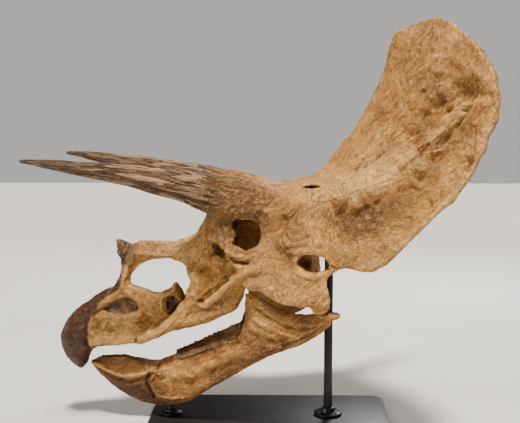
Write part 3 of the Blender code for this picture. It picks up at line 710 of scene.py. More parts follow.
def cheekLateral(_, plan):
    x, z = plan[:, 0], plan[:, 1]
    return 0.262 + 0.40 * np.clip(x, -0.1, 0.5) + 0.10 * (0.80 - z) - 0.75 * np.clip(z - 0.84, 0, 1)


def jawLateral(shape, plan):
    x, z = plan[:, 0], plan[:, 1]
    known = np.array(shape["lateral"])
    above = z - jawShelf["zAtFront"] - jawShelf["slope"] * (x - jawShelf["frontX"])
    inset = np.clip(above / jawShelf["depth"], 0, 1) * np.clip((-0.06 - x) / 0.05, 0, 1)
    return np.interp(x, known[:, 0], known[:, 1]) - jawShelf["inset"] * inset


def frillBody(rows=60, columns=120):
    mirror = np.array([1, -1, 1])
    half = [np.array(ray) for ray in frillForm["rays"]]
    rays = [ray * mirror for ray in half[:0:-1]] + half
    points = []
    for row in range(rows):
        station = [between(ray, row / (rows - 1)) for ray in rays]
        points += [between(station, column / (columns - 1)) for column in range(columns)]
    faces = []
    for r in range(rows - 1):
        for c in range(columns - 1):
            k = r * columns + c
            faces.append((k, k + columns, k + columns + 1, k + 1))
    made = meshFrom("frill", points, faces)
    step = made.modifiers.new("thickness", "SOLIDIFY")
    step.thickness = frillForm["thickness"]
    step.offset = 0
    return applied(made)


def predentaryBody():
    rows = []
    for i in range(33):
        rows.append(between([[x, *rim, *ridge, *keel] for x, rim, ridge, keel in predentaryForm], i / 32))
    points, sides = [], 10
    for x, rimY, rimZ, ridgeY, ridgeZ, keelY, keelZ in rows:
        dip = 0.35 * (rimZ - ridgeZ)
        half = ((rimY, rimZ), (ridgeY, ridgeZ), (0.75 * ridgeY, 0.5 * (ridgeZ + keelZ)), (keelY, keelZ))
        points += [(x, 0, rimZ - dip)] + [(x, -y, z) for y, z in half]
        points += [(x, 0, keelZ - 0.004)] + [(x, y, z) for y, z in half[::-1]]
    faces = []
    for i in range(len(rows) - 1):
        for k in range(sides):
            n = (k + 1) % sides
            faces.append((i * sides + k, i * sides + n, (i + 1) * sides + n, (i + 1) * sides + k))
    faces += [tuple(range(sides)), tuple(range((len(rows) - 1) * sides, len(rows) * sides))]
    return facingOut(meshFrom("predentary", points, faces))


# carving

# each stroke: radius, height (or depth below 0), and its line on the left side
strokes = {
    "frill": (
        (0.055, 0.028, (
            (0.196, -0.254, 0.988), (0.316, -0.290, 1.016), (0.441, -0.324, 1.056), (0.555, -0.369, 1.103),
            (0.622, -0.389, 1.159), (0.677, -0.403, 1.222),
        )),
        (0.085, -0.036, (
            (0.371, -0.382, 0.917), (0.440, -0.406, 0.940), (0.540, -0.455, 0.985), (0.630, -0.490, 1.050),
        )),
        (0.050, -0.010, ((0.690, -0.520, 1.105), (0.760, -0.560, 1.190), (0.810, -0.570, 1.280))),
        (0.015, 0.024, (
            (0.600, -0.380, 1.140), (0.640, -0.395, 1.180), (0.677, -0.406, 1.219), (0.730, -0.425, 1.289),
            (0.770, -0.448, 1.346), (0.802, -0.477, 1.388),
        )),
        (0.012, 0.019, ((0.693, -0.422, 1.223), (0.748, -0.451, 1.285), (0.794, -0.484, 1.350))),
        (0.009, 0.007, (
            (0.714, -0.463, 1.205), (0.774, -0.500, 1.271), (0.822, -0.527, 1.357), (0.847, -0.547, 1.398),
        )),
        (0.055, -0.032, (
            (0.649, -0.340, 1.270), (0.699, -0.372, 1.325), (0.760, -0.416, 1.385), (0.815, -0.475, 1.440),
        )),
        (0.016, -0.012, ((0.709, -0.445, 1.220), (0.776, -0.486, 1.297), (0.818, -0.511, 1.372))),
        (0.034, -0.020, (
            (0.356, -0.284, 1.044), (0.473, -0.324, 1.080), (0.568, -0.354, 1.138), (0.632, -0.366, 1.209),
        )),
        (0.040, 0.010, ((0.620, -0.240, 1.330), (0.690, -0.260, 1.450), (0.740, -0.290, 1.560))),
        (0.050, -0.010, ((0.560, -0.200, 1.330), (0.640, -0.190, 1.480), (0.700, -0.200, 1.600))),
        (0.030, 0.008, ((0.790, -0.400, 1.560), (0.840, -0.480, 1.510), (0.873, -0.550, 1.450))),
        (0.024, 0.014, (
            (0.471, -0.465, 0.756), (0.570, -0.524, 0.855), (0.674, -0.568, 0.963), (0.776, -0.605, 1.090),
            (0.837, -0.616, 1.190), (0.870, -0.619, 1.292),
        )),
        (0.040, -0.016, (
            (0.518, -0.487, 0.830), (0.622, -0.543, 0.945), (0.725, -0.585, 1.051), (0.795, -0.596, 1.163),
        )),
        (0.022, 0.008, ((0.702, -0.283, 1.556), (0.739, -0.346, 1.521))),
        (0.020, 0.007, ((0.841, -0.488, 1.522), (0.873, -0.555, 1.475))),
        (0.022, -0.009, ((0.669, -0.307, 1.425), (0.701, -0.355, 1.389))),
        (0.020, -0.008, ((0.769, -0.400, 1.481), (0.792, -0.442, 1.449))),
        (0.022, 0.009, ((0.736, -0.367, 1.459), (0.748, -0.394, 1.419))),
        (0.007, -0.007, ((0.420, -0.235, 1.122), (0.465, -0.232, 1.183))),
        (0.007, -0.008, ((0.455, -0.259, 1.132), (0.532, -0.284, 1.198))),
        (0.008, -0.007, ((0.643, -0.460, 1.105), (0.693, -0.480, 1.153), (0.742, -0.495, 1.214))),
        (0.007, -0.006, ((0.587, -0.357, 1.158), (0.631, -0.379, 1.186))),
        (0.008, -0.005, ((0.304, -0.409, 0.738), (0.350, -0.421, 0.756), (0.396, -0.431, 0.750))),
    ),
    "cheek": (
        (0.015, -0.034, (
            (-0.170, -0.110, 0.905), (-0.168, -0.125, 0.860), (-0.160, -0.150, 0.810),
            (-0.135, -0.190, 0.765),
        )),
        (0.012, 0.012, ((-0.100, -0.245, 0.790), (-0.060, -0.265, 0.768), (0.000, -0.275, 0.770))),
        (0.012, -0.018, ((-0.125, -0.220, 0.775), (-0.070, -0.255, 0.745), (-0.020, -0.270, 0.745))),
        (0.010, -0.008, (
            (0.154, -0.338, 0.843), (0.194, -0.351, 0.849), (0.230, -0.355, 0.862), (0.245, -0.376, 0.841),
        )),
        (0.014, 0.012, ((0.150, -0.345, 0.800), (0.218, -0.375, 0.808), (0.290, -0.400, 0.804))),
        (0.040, -0.010, ((0.120, -0.337, 0.790), (0.150, -0.345, 0.755))),
        (0.030, 0.014, ((0.100, -0.310, 0.850), (0.135, -0.325, 0.870), (0.150, -0.330, 0.845))),
        (0.020, 0.018, (
            (-0.205, -0.157, 0.545), (-0.159, -0.185, 0.583), (-0.102, -0.227, 0.642),
            (-0.037, -0.279, 0.698), (0.020, -0.290, 0.725),
        )),
        (0.016, -0.026, ((-0.205, -0.152, 0.580), (-0.160, -0.180, 0.615), (-0.110, -0.205, 0.665))),
        (0.014, -0.024, ((-0.224, -0.150, 0.562), (-0.212, -0.157, 0.556))),
        (0.022, 0.024, ((-0.152, -0.175, 0.752), (-0.144, -0.179, 0.734))),
        (0.014, 0.008, ((-0.150, -0.180, 0.690), (-0.135, -0.186, 0.665))),
        (0.030, -0.006, ((0.060, -0.300, 0.690), (0.120, -0.330, 0.660), (0.180, -0.350, 0.660))),
        (0.022, 0.012, ((0.255, -0.407, 0.660), (0.285, -0.405, 0.620), (0.297, -0.403, 0.595))),
        (0.012, 0.008, (
            (0.186, -0.363, 0.722), (0.210, -0.369, 0.712), (0.257, -0.385, 0.706), (0.303, -0.373, 0.730),
        )),
        (0.035, 0.008, ((0.040, -0.262, 0.980), (0.094, -0.279, 0.941), (0.114, -0.299, 0.874))),
        (0.030, 0.010, ((0.160, -0.270, 0.950), (0.240, -0.330, 0.900), (0.250, -0.370, 0.840))),
        (0.014, 0.009, (
            (-0.010, -0.262, 0.640), (0.050, -0.285, 0.628), (0.110, -0.320, 0.600), (0.200, -0.350, 0.592),
        )),
    ),
    "nose": (
        (0.012, -0.007, ((-0.505, -0.030, 0.790), (-0.515, -0.033, 0.745), (-0.520, -0.033, 0.706))),
        (0.016, 0.011, (
            (-0.550, -0.030, 0.700), (-0.575, -0.030, 0.625), (-0.603, -0.035, 0.575),
            (-0.655, -0.041, 0.530), (-0.700, -0.045, 0.492),
        )),
        (0.014, 0.008, (
            (-0.563, -0.045, 0.584), (-0.506, -0.046, 0.548), (-0.462, -0.046, 0.520),
            (-0.450, -0.046, 0.480),
        )),
        (0.012, 0.009, (
            (-0.690, -0.046, 0.470), (-0.640, -0.046, 0.464), (-0.565, -0.046, 0.463),
            (-0.498, -0.046, 0.476),
        )),
        (0.046, -0.020, ((-0.660, -0.046, 0.412), (-0.565, -0.046, 0.412), (-0.480, -0.046, 0.435))),
        (0.018, 0.016, (
            (-0.715, -0.050, 0.350), (-0.610, -0.046, 0.352), (-0.520, -0.046, 0.362),
            (-0.440, -0.070, 0.392),
        )),
        (0.008, 0.006, ((-0.640, -0.048, 0.372), (-0.560, -0.047, 0.376), (-0.500, -0.050, 0.384))),
        (0.034, 0.020, (
            (-0.250, -0.095, 0.700), (-0.232, -0.125, 0.640), (-0.255, -0.130, 0.570),
            (-0.320, -0.110, 0.495), (-0.400, -0.095, 0.425), (-0.480, -0.065, 0.372),
        )),
        (0.022, -0.020, ((-0.305, -0.060, 0.545), (-0.345, -0.046, 0.485), (-0.420, -0.050, 0.425))),
        (0.040, -0.026, ((-0.195, -0.150, 0.690), (-0.190, -0.160, 0.650), (-0.200, -0.150, 0.610))),
        (0.014, 0.009, (
            (-0.499, -0.010, 0.787), (-0.390, -0.002, 0.786), (-0.276, -0.044, 0.806),
            (-0.187, -0.075, 0.862),
        )),
        (0.008, -0.005, (
            (-0.470, -0.045, 0.765), (-0.390, -0.060, 0.757), (-0.320, -0.075, 0.765),
            (-0.250, -0.090, 0.790),
        )),
        (0.008, 0.006, ((-0.450, -0.050, 0.745), (-0.370, -0.068, 0.740), (-0.300, -0.080, 0.748))),
        (0.026, 0.009, (
            (-0.370, -0.100, 0.435), (-0.260, -0.130, 0.470), (-0.150, -0.165, 0.510),
            (-0.070, -0.190, 0.560),
        )),
        (0.010, 0.006, (
            (-0.655, -0.010, 0.570), (-0.700, -0.048, 0.500), (-0.718, -0.057, 0.408),
            (-0.722, -0.048, 0.338),
        )),
        (0.010, -0.006, (
            (-0.672, -0.012, 0.560), (-0.718, -0.047, 0.488), (-0.736, -0.057, 0.399),
            (-0.735, -0.050, 0.330),
        )),
        (0.010, 0.008, ((-0.345, -0.045, 0.600), (-0.365, -0.045, 0.570), (-0.395, -0.045, 0.555))),
        (0.008, 0.007, (
            (-0.398, -0.045, 0.560), (-0.404, -0.045, 0.510), (-0.375, -0.045, 0.472),
            (-0.330, -0.045, 0.480),
        )),
    ),
    "jaw": (
        (0.014, 0.008, (
            (-0.025, -0.200, 0.560), (-0.035, -0.192, 0.500), (-0.048, -0.186, 0.450),
            (-0.062, -0.184, 0.410),
        )),
        (0.030, -0.019, (
            (-0.300, -0.098, 0.272), (-0.240, -0.115, 0.305), (-0.160, -0.145, 0.345),
            (-0.080, -0.175, 0.392),
        )),
        (0.028, 0.015, (
            (-0.400, -0.070, 0.225), (-0.320, -0.105, 0.222), (-0.230, -0.140, 0.255),
            (-0.140, -0.170, 0.305), (-0.060, -0.200, 0.345),
        )),
        (0.016, -0.009, ((-0.270, -0.114, 0.285), (-0.251, -0.121, 0.284))),
        (0.012, 0.008, (
            (-0.445, -0.071, 0.200), (-0.442, -0.071, 0.153), (-0.410, -0.083, 0.120),
            (-0.305, -0.116, 0.122),
        )),
        (0.010, -0.009, ((-0.458, -0.074, 0.225), (-0.466, -0.062, 0.159), (-0.440, -0.047, 0.105))),
        (0.014, -0.009, ((0.130, -0.305, 0.400), (0.236, -0.344, 0.460), (0.300, -0.358, 0.500))),
        (0.026, -0.008, ((-0.100, -0.180, 0.255), (-0.010, -0.225, 0.310), (0.080, -0.265, 0.365))),
        (0.006, -0.012, ((-0.088, -0.189, 0.377), (-0.083, -0.193, 0.378))),
        (0.006, -0.012, ((-0.101, -0.184, 0.363), (-0.096, -0.187, 0.364))),
        (0.010, -0.006, (
            (0.020, -0.259, 0.545), (0.094, -0.292, 0.505), (0.180, -0.328, 0.480), (0.260, -0.345, 0.495),
        )),
        (0.012, 0.006, ((0.010, -0.255, 0.500), (0.099, -0.294, 0.462), (0.190, -0.325, 0.440))),
        (0.020, -0.007, ((0.000, -0.235, 0.440), (0.070, -0.275, 0.415), (0.130, -0.300, 0.420))),
        (0.011, 0.009, (
            (-0.715, -0.010, 0.250), (-0.688, -0.028, 0.243), (-0.640, -0.045, 0.220),
            (-0.580, -0.060, 0.205), (-0.512, -0.074, 0.212), (-0.452, -0.080, 0.232),
        )),
        (0.012, -0.007, (
            (-0.680, -0.026, 0.222), (-0.630, -0.040, 0.195), (-0.575, -0.052, 0.180),
            (-0.505, -0.066, 0.186), (-0.455, -0.072, 0.205),
        )),
        (0.022, -0.008, (
            (-0.680, -0.020, 0.262), (-0.620, -0.034, 0.252), (-0.560, -0.044, 0.243),
            (-0.500, -0.054, 0.240),
        )),
    ),
}
# broad tones in the colour, partly the bone's own and partly painted highlight on lit ridges and rims and
# painted shade in the fossa, hollows, openings and undersides: centre on the left side, radius, and pale
# above 0 or dark below it
tonesAndPaintedLight = {
    "skull": (
        ((0.400, -0.390, 0.930), 0.090, -1.40), ((0.490, -0.430, 0.965), 0.085, -1.10),
        ((0.590, -0.480, 1.000), 0.085, -0.85), ((0.690, -0.500, 1.080), 0.070, -0.30),
        ((0.735, -0.400, 1.370), 0.120, -0.55), ((0.690, -0.350, 1.440), 0.100, -0.35),
        ((0.790, -0.460, 1.450), 0.080, -0.30), ((0.665, -0.360, 1.270), 0.060, -0.60),
        ((0.640, -0.250, 1.560), 0.120, -0.35), ((0.250, -0.270, 1.000), 0.080, 0.80),
        ((0.380, -0.300, 1.030), 0.080, 1.40), ((0.510, -0.345, 1.085), 0.080, 1.50),
        ((-0.860, -0.330, 1.150), 0.150, -0.90), ((-0.700, -0.330, 1.130), 0.120, -0.50),
        ((0.620, -0.388, 1.160), 0.065, 0.90), ((0.460, -0.240, 1.150), 0.110, 0.60),
        ((0.720, -0.425, 1.275), 0.045, 1.30), ((0.795, -0.475, 1.385), 0.030, 1.00),
        ((0.770, -0.450, 1.345), 0.035, 1.20), ((0.300, -0.150, 1.075), 0.080, 0.70),
        ((0.560, -0.540, 0.860), 0.060, 0.60), ((0.680, -0.575, 0.960), 0.060, 0.60),
        ((0.790, -0.600, 1.100), 0.060, 0.60), ((0.440, -0.460, 0.780), 0.060, 0.45),
        ((0.860, -0.600, 1.250), 0.060, 0.40), ((0.860, -0.540, 1.470), 0.050, 0.45),
        ((0.760, -0.330, 1.660), 0.050, 0.45), ((-0.016, -0.240, 0.861), 0.085, -0.60),
        ((-0.120, -0.215, 0.860), 0.060, -0.90), ((-0.070, -0.250, 0.765), 0.045, -0.80),
        ((0.060, -0.280, 0.880), 0.060, -0.30), ((-0.170, -0.170, 0.780), 0.040, -0.90),
        ((0.150, -0.340, 0.770), 0.050, -0.65), ((0.235, -0.305, 0.757), 0.045, -1.60),
        ((-0.190, -0.160, 0.660), 0.050, -0.35), ((-0.150, -0.178, 0.742), 0.022, 0.90),
        ((0.010, -0.260, 1.000), 0.120, -1.10), ((-0.100, -0.270, 0.990), 0.110, -1.20),
        ((0.150, -0.300, 0.880), 0.080, -0.75), ((0.090, -0.310, 0.660), 0.080, 0.55),
        ((0.200, -0.360, 0.660), 0.080, 0.45), ((0.200, -0.340, 0.820), 0.070, -0.35),
        ((-0.620, -0.050, 0.355), 0.050, 1.10), ((-0.540, -0.050, 0.360), 0.050, 1.10),
        ((-0.690, -0.050, 0.360), 0.040, 0.60), ((-0.560, -0.050, 0.410), 0.090, 1.30),
        ((-0.420, -0.050, 0.500), 0.070, 0.90), ((-0.650, -0.050, 0.410), 0.060, 0.60),
        ((-0.320, -0.070, 0.770), 0.100, 0.60), ((-0.200, -0.100, 0.800), 0.080, 0.55),
        ((-0.120, -0.210, 0.625), 0.035, 0.90), ((-0.180, -0.180, 0.570), 0.030, 0.70),
        ((-0.245, -0.120, 0.640), 0.040, 0.60), ((-0.320, -0.110, 0.495), 0.045, 0.50),
        ((-0.050, -0.200, 0.560), 0.045, -0.70), ((-0.230, -0.130, 0.440), 0.050, -0.50),
        ((-0.120, -0.160, 0.490), 0.050, -0.60), ((0.080, -0.100, 1.070), 0.080, 0.60),
        ((-0.560, -0.030, 0.720), 0.050, -0.50),
    ),
    "jaw": (
        ((-0.250, -0.130, 0.290), 0.050, -0.80), ((-0.160, -0.145, 0.350), 0.045, -0.70),
        ((-0.350, -0.100, 0.215), 0.060, 0.80), ((-0.230, -0.140, 0.250), 0.060, 0.70),
        ((-0.420, -0.090, 0.120), 0.050, -0.45), ((0.080, -0.280, 0.500), 0.090, 0.95),
        ((0.020, -0.250, 0.540), 0.050, 0.60), ((0.180, -0.325, 0.490), 0.060, 0.20),
        ((0.060, -0.260, 0.360), 0.100, -0.95), ((-0.120, -0.180, 0.220), 0.090, -0.95),
        ((0.220, -0.345, 0.440), 0.090, -0.90), ((0.120, -0.310, 0.400), 0.080, -0.50),
        ((0.310, -0.345, 0.545), 0.040, 0.50), ((-0.070, -0.180, 0.400), 0.035, -1.00),
        ((-0.010, -0.220, 0.560), 0.050, 0.40), ((-0.600, -0.040, 0.120), 0.100, -1.30),
        ((-0.500, -0.060, 0.110), 0.090, -1.20), ((-0.400, -0.070, 0.080), 0.080, -1.00),
        ((-0.560, -0.070, 0.205), 0.030, 0.50), ((-0.470, -0.085, 0.225), 0.030, 0.60),
    ),
}


def sculpted(item, groups, voxel):
    # raises ridges and sinks grooves along the strokes, on both sides at once
    mesh = item.data
    points, normals = coordsOf(mesh), normalsOf(mesh)
    folded, facing = points.copy(), normals.copy()
    swap = points[:, 1] > 0
    folded[swap, 1] *= -1
    facing[swap, 1] *= -1
    total = np.zeros(len(points))
    flat = np.array((1, 0.35, 1))  # a stroke works through to the surface below its line
    wander = np.stack([roughness(points, 0.045, 2, seed) for seed in (61, 67, 71)], axis=1)
    uneven = 0.9 + 0.4 * roughness(points, 0.035, 1, 73)
    for group in groups:
        for radius, height, line in strokes[group]:
            line = np.array([between(line, i / 12) for i in range(13)])
            reach = max(radius, 1.3 * voxel)
            low, high = line.min(0) - (reach + 0.02) / flat, line.max(0) + (reach + 0.02) / flat
            near = np.flatnonzero(np.all((folded > low) & (folded < high), axis=1) & (facing[:, 1] < 0.1))
            if not len(near):
                continue
            moved = folded[near] + wander[near] * (0.20 * radius + 0.0005)
            away = distanceToLine(moved * flat, line * flat, closed=False)
            share = np.clip(1 - (away / (1.25 * reach)) ** 2, 0, 1) ** 2
            closest = near[np.argmin(away)]
            alike = np.clip(facing[near] @ facing[closest] * 2, 0, 1)
            total[near] += height * share * alike * uneven[near] * min(1, radius / reach)
    setCoords(mesh, points + normals * total[:, None])
    return item


def hornFrame(points):
    # how far along a horn each point lies, its angle round the axis and how near the axis is
    path = np.array([between(hornForm["path"], i / 60) for i in range(61)])
    folded = points.copy()
    folded[:, 1] = np.abs(folded[:, 1])
    steps = np.linalg.norm(np.diff(path[:, :3], axis=0), axis=1)
    lengths = np.concatenate([[0], np.cumsum(steps)])
    along, off = np.zeros(len(points)), np.full(len(points), 9.0)
    angle, size = np.zeros(len(points)), np.zeros(len(points))
    for i in range(60):
        span = path[i + 1, :3] - path[i, :3]
        share = np.clip(((folded - path[i, :3]) @ span) / (span @ span), 0, 1)
        away = folded - path[i, :3] - share[:, None] * span
        radius = path[i, 3] + share * (path[i + 1, 3] - path[i, 3])
        reach = share * steps[i]
        share = np.linalg.norm(away, axis=1) / radius
        closer = share < off
        off[closer] = share[closer]
        size[closer] = radius[closer]
        along[closer] = (lengths[i] + reach)[closer]
        across = np.cross(span / steps[i], (0, 0, 1))
        up = np.cross(across, span / steps[i])
        angle[closer] = np.arctan2(away @ up, away @ across)[closer]
    return along, angle, off, size


weathering = {
    # height of the relief, size of its noise, layers and seed
    "lumps": (0.0055, 0.095, 3, 3),
    "knobs": (0.0056, 0.038, 3, 17),
    "fibres": (0.0007, 0.0145, 2, 23),
    "grit": (0.0014, 0.020, 2, 29),
    "orbit": (0.0060, 0.022, 3, 53),
    "beak": (0.0018, 0.014, 2, 41),
    "rock": (0.0070, 0.022, 2, 47),
    "hornFibres": (0.0024, 0.0090, 1, 37),
    # depth of the grooves, share of the noise they take, its size, layers and seed
    "folds": (0.0030, 0.30, 0.021, 3, 59),
    "hornGrooves": (0.0110, 0.42, 0.021, 2, 31),
    "orbitCentre": (-0.085, 0.24, 0.82),
    "orbitRadius": 0.085,
    "thinRim": 0.0035,
    # rounds of averaging on a mesh of this voxel, and the heights that count as full
    "voxel": 0.005,
    "rounds": {"rim": 12, "fine": 5, "broad": 34},
    "fullRelief": 0.0018,
    "fullHollow": 0.010,
}


def bumps(name, points):
    height, size, layers, seed = weathering[name]
    return height * roughness(points, size, layers, seed)


def grooves(name, points):
    # how much of a groove each point lies in, from 0 to 1, along the middle of a noise
    _, width, size, layers, seed = weathering[name]
    return np.clip(width - np.abs(roughness(points, size, layers, seed)), 0, 1) / width


def weathered(item, voxel, jaw=False):
    # works out masks and grain for the finishes, then roughens the surface with them; the tones and the
    # relief and hollow masks also carry painted highlight and painted shade
    mesh = item.data
    edges, count = edgesOf(mesh), len(mesh.vertices)
    points, normals = coordsOf(mesh), normalsOf(mesh)
    x, y, z = points.T
    side = np.abs(y)
    horn, beak, infill, frill = (np.zeros(count) for _ in range(4))
    hornGrain = np.zeros((count, 3))
    if jaw:
        # fibres run along the jaw; the beak is dark below its rim
        grain = np.stack([(x * 0.905 + z * 0.425) * 0.22, z * 0.905 - x * 0.425, y], axis=1)
        rim = np.interp(x, [row[0] for row in predentaryForm], [row[2][1] for row in predentaryForm])
        front = np.clip((-0.435 - x - 0.10 * (z - 0.15)) / 0.02, 0, 1)
        below = np.clip((rim - 0.004 - z) / 0.012, 0, 1)
        beak = front * (0.55 * np.clip((z - rim - 0.002) / 0.008, 0, 1) + 0.40 * below)
    else:
        # fibres spread from the skull roof over the frill, and run lengthwise elsewhere
        spread = points - np.array((0.02, 0, 0.78))
        far = np.linalg.norm(spread, axis=1)
        frill = np.clip((x - 0.18) / 0.22, 0, 1) * np.clip((z - 0.76 + 0.25 * (x - 0.45)) / 0.10, 0, 1)
        turn = np.arctan2(spread[:, 2], spread[:, 0])
        lean = np.arcsin(np.clip(y / np.maximum(far, 1e-6), -1, 1))
        radial = np.stack([far * 0.22, turn * 0.66, lean * 0.66], axis=1)
        level = np.stack([(x * 0.87 + z * 0.5) * 0.35, z * 0.87 - x * 0.5, y], axis=1)
        grain = level + (radial - level) * frill[:, None]
        near = np.flatnonzero((x < 0.16) & (z > 0.84) & (side > 0.05))
        along, angle, off, size = hornFrame(points[near])
        fade = 0.06 * roughness(points[near], 0.07, 2, 83)
        horn[near] = np.clip((1.45 - off) / 0.25, 0, 1) * np.clip((along - 0.17 + fade) / 0.20, 0, 1)
        size = 0.6 * size + 0.010
        lengthwise = along * 0.075 + np.sign(y[near])
        hornGrain[near] = np.stack([lengthwise, np.cos(angle) * size, np.sin(angle) * size], axis=1)
        # the nose horn is dark and grooved like the brow horns
        tip = np.clip((-0.480 - x + 0.5 * (z - 0.80)) / 0.05, 0, 1)
        tip *= np.clip((z - 0.610) / 0.10, 0, 1) * (z < 0.9)
        hornGrain[tip > 0] = points[tip > 0] * (0.8, 0.8, 0.35)
        horn = np.maximum(horn, 0.75 * tip)
        ragged = 0.006 * roughness(points, 0.03, 2, 89)
        front = -0.718 + 0.05 * np.clip((z - 0.44) / 0.09, 0, 1) + 0.09 * np.clip((z - 0.53) / 0.06, 0, 1)
        beak = np.clip((front + ragged - x) / 0.010, 0, 1) * (z < 0.66)
        beak = np.maximum(beak, 0.55 * tip)
        plan = points[:, [0, 2]]
        for name in ("large", "small"):
            outline = smoothOutline(recesses[name])
            infill = np.maximum(infill, insideOutline(plan, outline) * (side < recesses["floor"] + 0.008))
    # tones: partly the bone's own colour, partly painted highlight on lit ridges and rims and painted shade
    # in hollows, openings and undersides
    toneAndPaintedLight = np.zeros(count)
    warped = np.stack([x, -0.5 * side, z], axis=1) + 0.014 * roughness(points, 0.06, 3, 97)[:, None]
    for centre, radius, amount in tonesAndPaintedLight["jaw" if jaw else "skull"]:
        away = np.linalg.norm(warped - np.array(centre) * (1, 0.5, 1), axis=1) / (1.35 * radius)
        toneAndPaintedLight += amount * np.clip(1 - away**2, 0, 1) ** 1.5
    plain = np.clip(1 - 1.5 * horn, 0, 1) * (1 - infill)
    # broad lumps, a knobbly frill, fibres, and deep grooves along the horns; thin rims stay even
    share = (weathering["voxel"] / voxel) ** 2
    rounds = {key: max(1, int(number * share)) for key, number in weathering["rounds"].items()}
    inward = np.linalg.norm(points - averaged(points, edges, count, rounds["rim"]), axis=1)
    plain *= np.clip(1.35 - inward / weathering["thinRim"], 0.15, 1)
    bulge = bumps("lumps", points) * plain
    patchy = np.clip(0.5 + roughness(points, 0.16, 2, 67), 0, 1)
    depth = weathering["folds"][0]
    bulge -= depth * grooves("folds", grain) * plain * (1 - beak) * (1 - 0.55 * frill) * patchy
    knobby = np.clip(roughness(points, 0.30, 1, 11) * 1.5 + 0.35, 0, 1)
    bulge += bumps("knobs", points) * (knobby * frill * np.clip((z - 1.05) / 0.2, 0.15, 1))
    bulge += bumps("fibres", grain) * plain
    bulge += bumps("grit", points) * plain * (1 - beak)
    slim = np.clip(np.linalg.norm(hornGrain[:, 1:], axis=1) / 0.050, 0.35, 1.1)
    depth = weathering["hornGrooves"][0]
    bulge += horn * slim * (bumps("hornFibres", hornGrain) - depth * grooves("hornGrooves", hornGrain))
    fromOrbit = np.stack([x, side, z], axis=1) - np.array(weathering["orbitCentre"])
    rugged = np.clip(1.3 - np.linalg.norm(fromOrbit, axis=1) / weathering["orbitRadius"], 0, 1)
    bulge += (1 - jaw) * rugged * bumps("orbit", points)
    bulge += beak * bumps("beak", points)
    bulge += infill * bumps("rock", points)
    points = points + normals * bulge[:, None]
    setCoords(mesh, points)
    normals = normalsOf(mesh)
    # relief and hollow become painted highlight on raised parts and painted shade in grooves and hollows in
    # the shader
    fine = averaged(points, edges, count, rounds["fine"])
    broad = averaged(fine, edges, count, rounds["broad"])
    relief = np.einsum("ij,ij->i", points - fine, normals) / weathering["fullRelief"]
    hollow = np.einsum("ij,ij->i", broad - points, normals) / weathering["fullHollow"]
    both = averaged(np.stack([relief, hollow], axis=1), edges, count, 1)
    for name, values in (
        ("relief", np.clip(both[:, 0], -1, 1)), ("hollow", np.clip(both[:, 1], -1, 1)), ("toneAndPaintedLight", toneAndPaintedLight),
        ("horn", horn), ("beak", beak), ("infill", infill), ("grain", grain), ("hornGrain", hornGrain),
    ):
        setAttribute(mesh, name, values)
    return item


# where the bones part

wide = 0.90
skullRegions = (
    ("nasal_horn", ((-0.70, 0.70), (-0.56, 0.70), (-0.52, 0.74), (-0.50, 0.85), (-0.70, 0.85)), wide),
    ("nasal", (
        (-0.75, 0.63), (-0.52, 0.63), (-0.30, 0.67), (-0.25, 0.70), (-0.20, 0.78), (-0.19, 0.95),
        (-0.75, 0.95),
    ), wide),
    ("rostral", (
        (-0.95, 0.15), (-0.712, 0.15), (-0.712, 0.33), (-0.728, 0.37), (-0.712, 0.44),
        (-0.660, 0.530), (-0.600, 0.63), (-0.95, 0.63),
    ), wide),
    ("premaxilla", (
        (-0.80, 0.28), (-0.80, 0.65), (-0.33, 0.65), (-0.285, 0.53), (-0.34, 0.46), (-0.40, 0.40),
        (-0.47, 0.30),
    ), wide),
    ("brow_horn", (
        (-1.00, 1.26), (-0.080, 1.140), (-0.145, 1.050), (-0.178, 0.940), (-0.32, 0.90), (-1.00, 1.08),
    ), (0.03, 0.60)),
    ("palate", (
        (-0.42, 0.37), (-0.28, 0.60), (-0.12, 0.655), (-0.02, 0.70), (-0.02, 0.60), (-0.20, 0.45),
    ), 0.074),
    ("quadrate", (
        (0.16, 0.50), (0.16, 0.79), (0.31, 0.79), (0.38, 0.66), (0.38, 0.50),
    ), (0.18, 0.345)),
    ("jugal", (
        (-0.15, 0.52), (-0.13, 0.735), (-0.02, 0.775), (0.07, 0.775), (0.17, 0.757), (0.31, 0.757),
        (0.40, 0.70), (0.40, 0.52),
    ), (0.205, 0.60)),
    ("squamosal", (
        (0.15, 0.757), (0.12, 0.86), (0.20, 0.955), (0.341, 1.017), (0.547, 1.095), (0.746, 1.294),
        (0.86, 1.49), (1.00, 1.70), (1.20, 1.20), (0.60, 0.55), (0.42, 0.66), (0.32, 0.757),
    ), (0.20, 0.80)),
    ("parietal", (
        (0.24, 1.30), (0.24, 1.00), (0.45, 1.00), (0.60, 1.00), (1.20, 1.40), (1.20, 1.95), (0.40, 1.95),
    ), wide),
    ("maxilla", (
        (-0.55, 0.28), (-0.40, 0.40), (-0.34, 0.46), (-0.285, 0.53), (-0.22, 0.56), (-0.10, 0.66),
        (0.02, 0.66), (0.02, 0.40), (-0.30, 0.28),
    ), (0.060, 0.30)),
    ("postorbital", ((-0.25, 0.66), (-0.25, 1.20), (0.300, 1.20), (0.300, 0.66)), (0.185, 0.60)),
    ("lacrimal", (
        (-0.33, 0.50), (-0.33, 0.66), (-0.26, 0.72), (-0.215, 0.79), (-0.205, 0.90), (-0.04, 0.90),
        (-0.04, 0.60),
    ), (0.092, 0.30)),
    ("pterygoid", (
        (-0.04, 0.60), (-0.04, 0.700), (0.08, 0.775), (0.17, 0.785), (0.17, 0.60),
    ), (0.00015, 0.30)),
    ("occipital_condyle", ((0.420, 0.78), (0.420, 0.925), (0.560, 0.925), (0.560, 0.78)), wide),
)
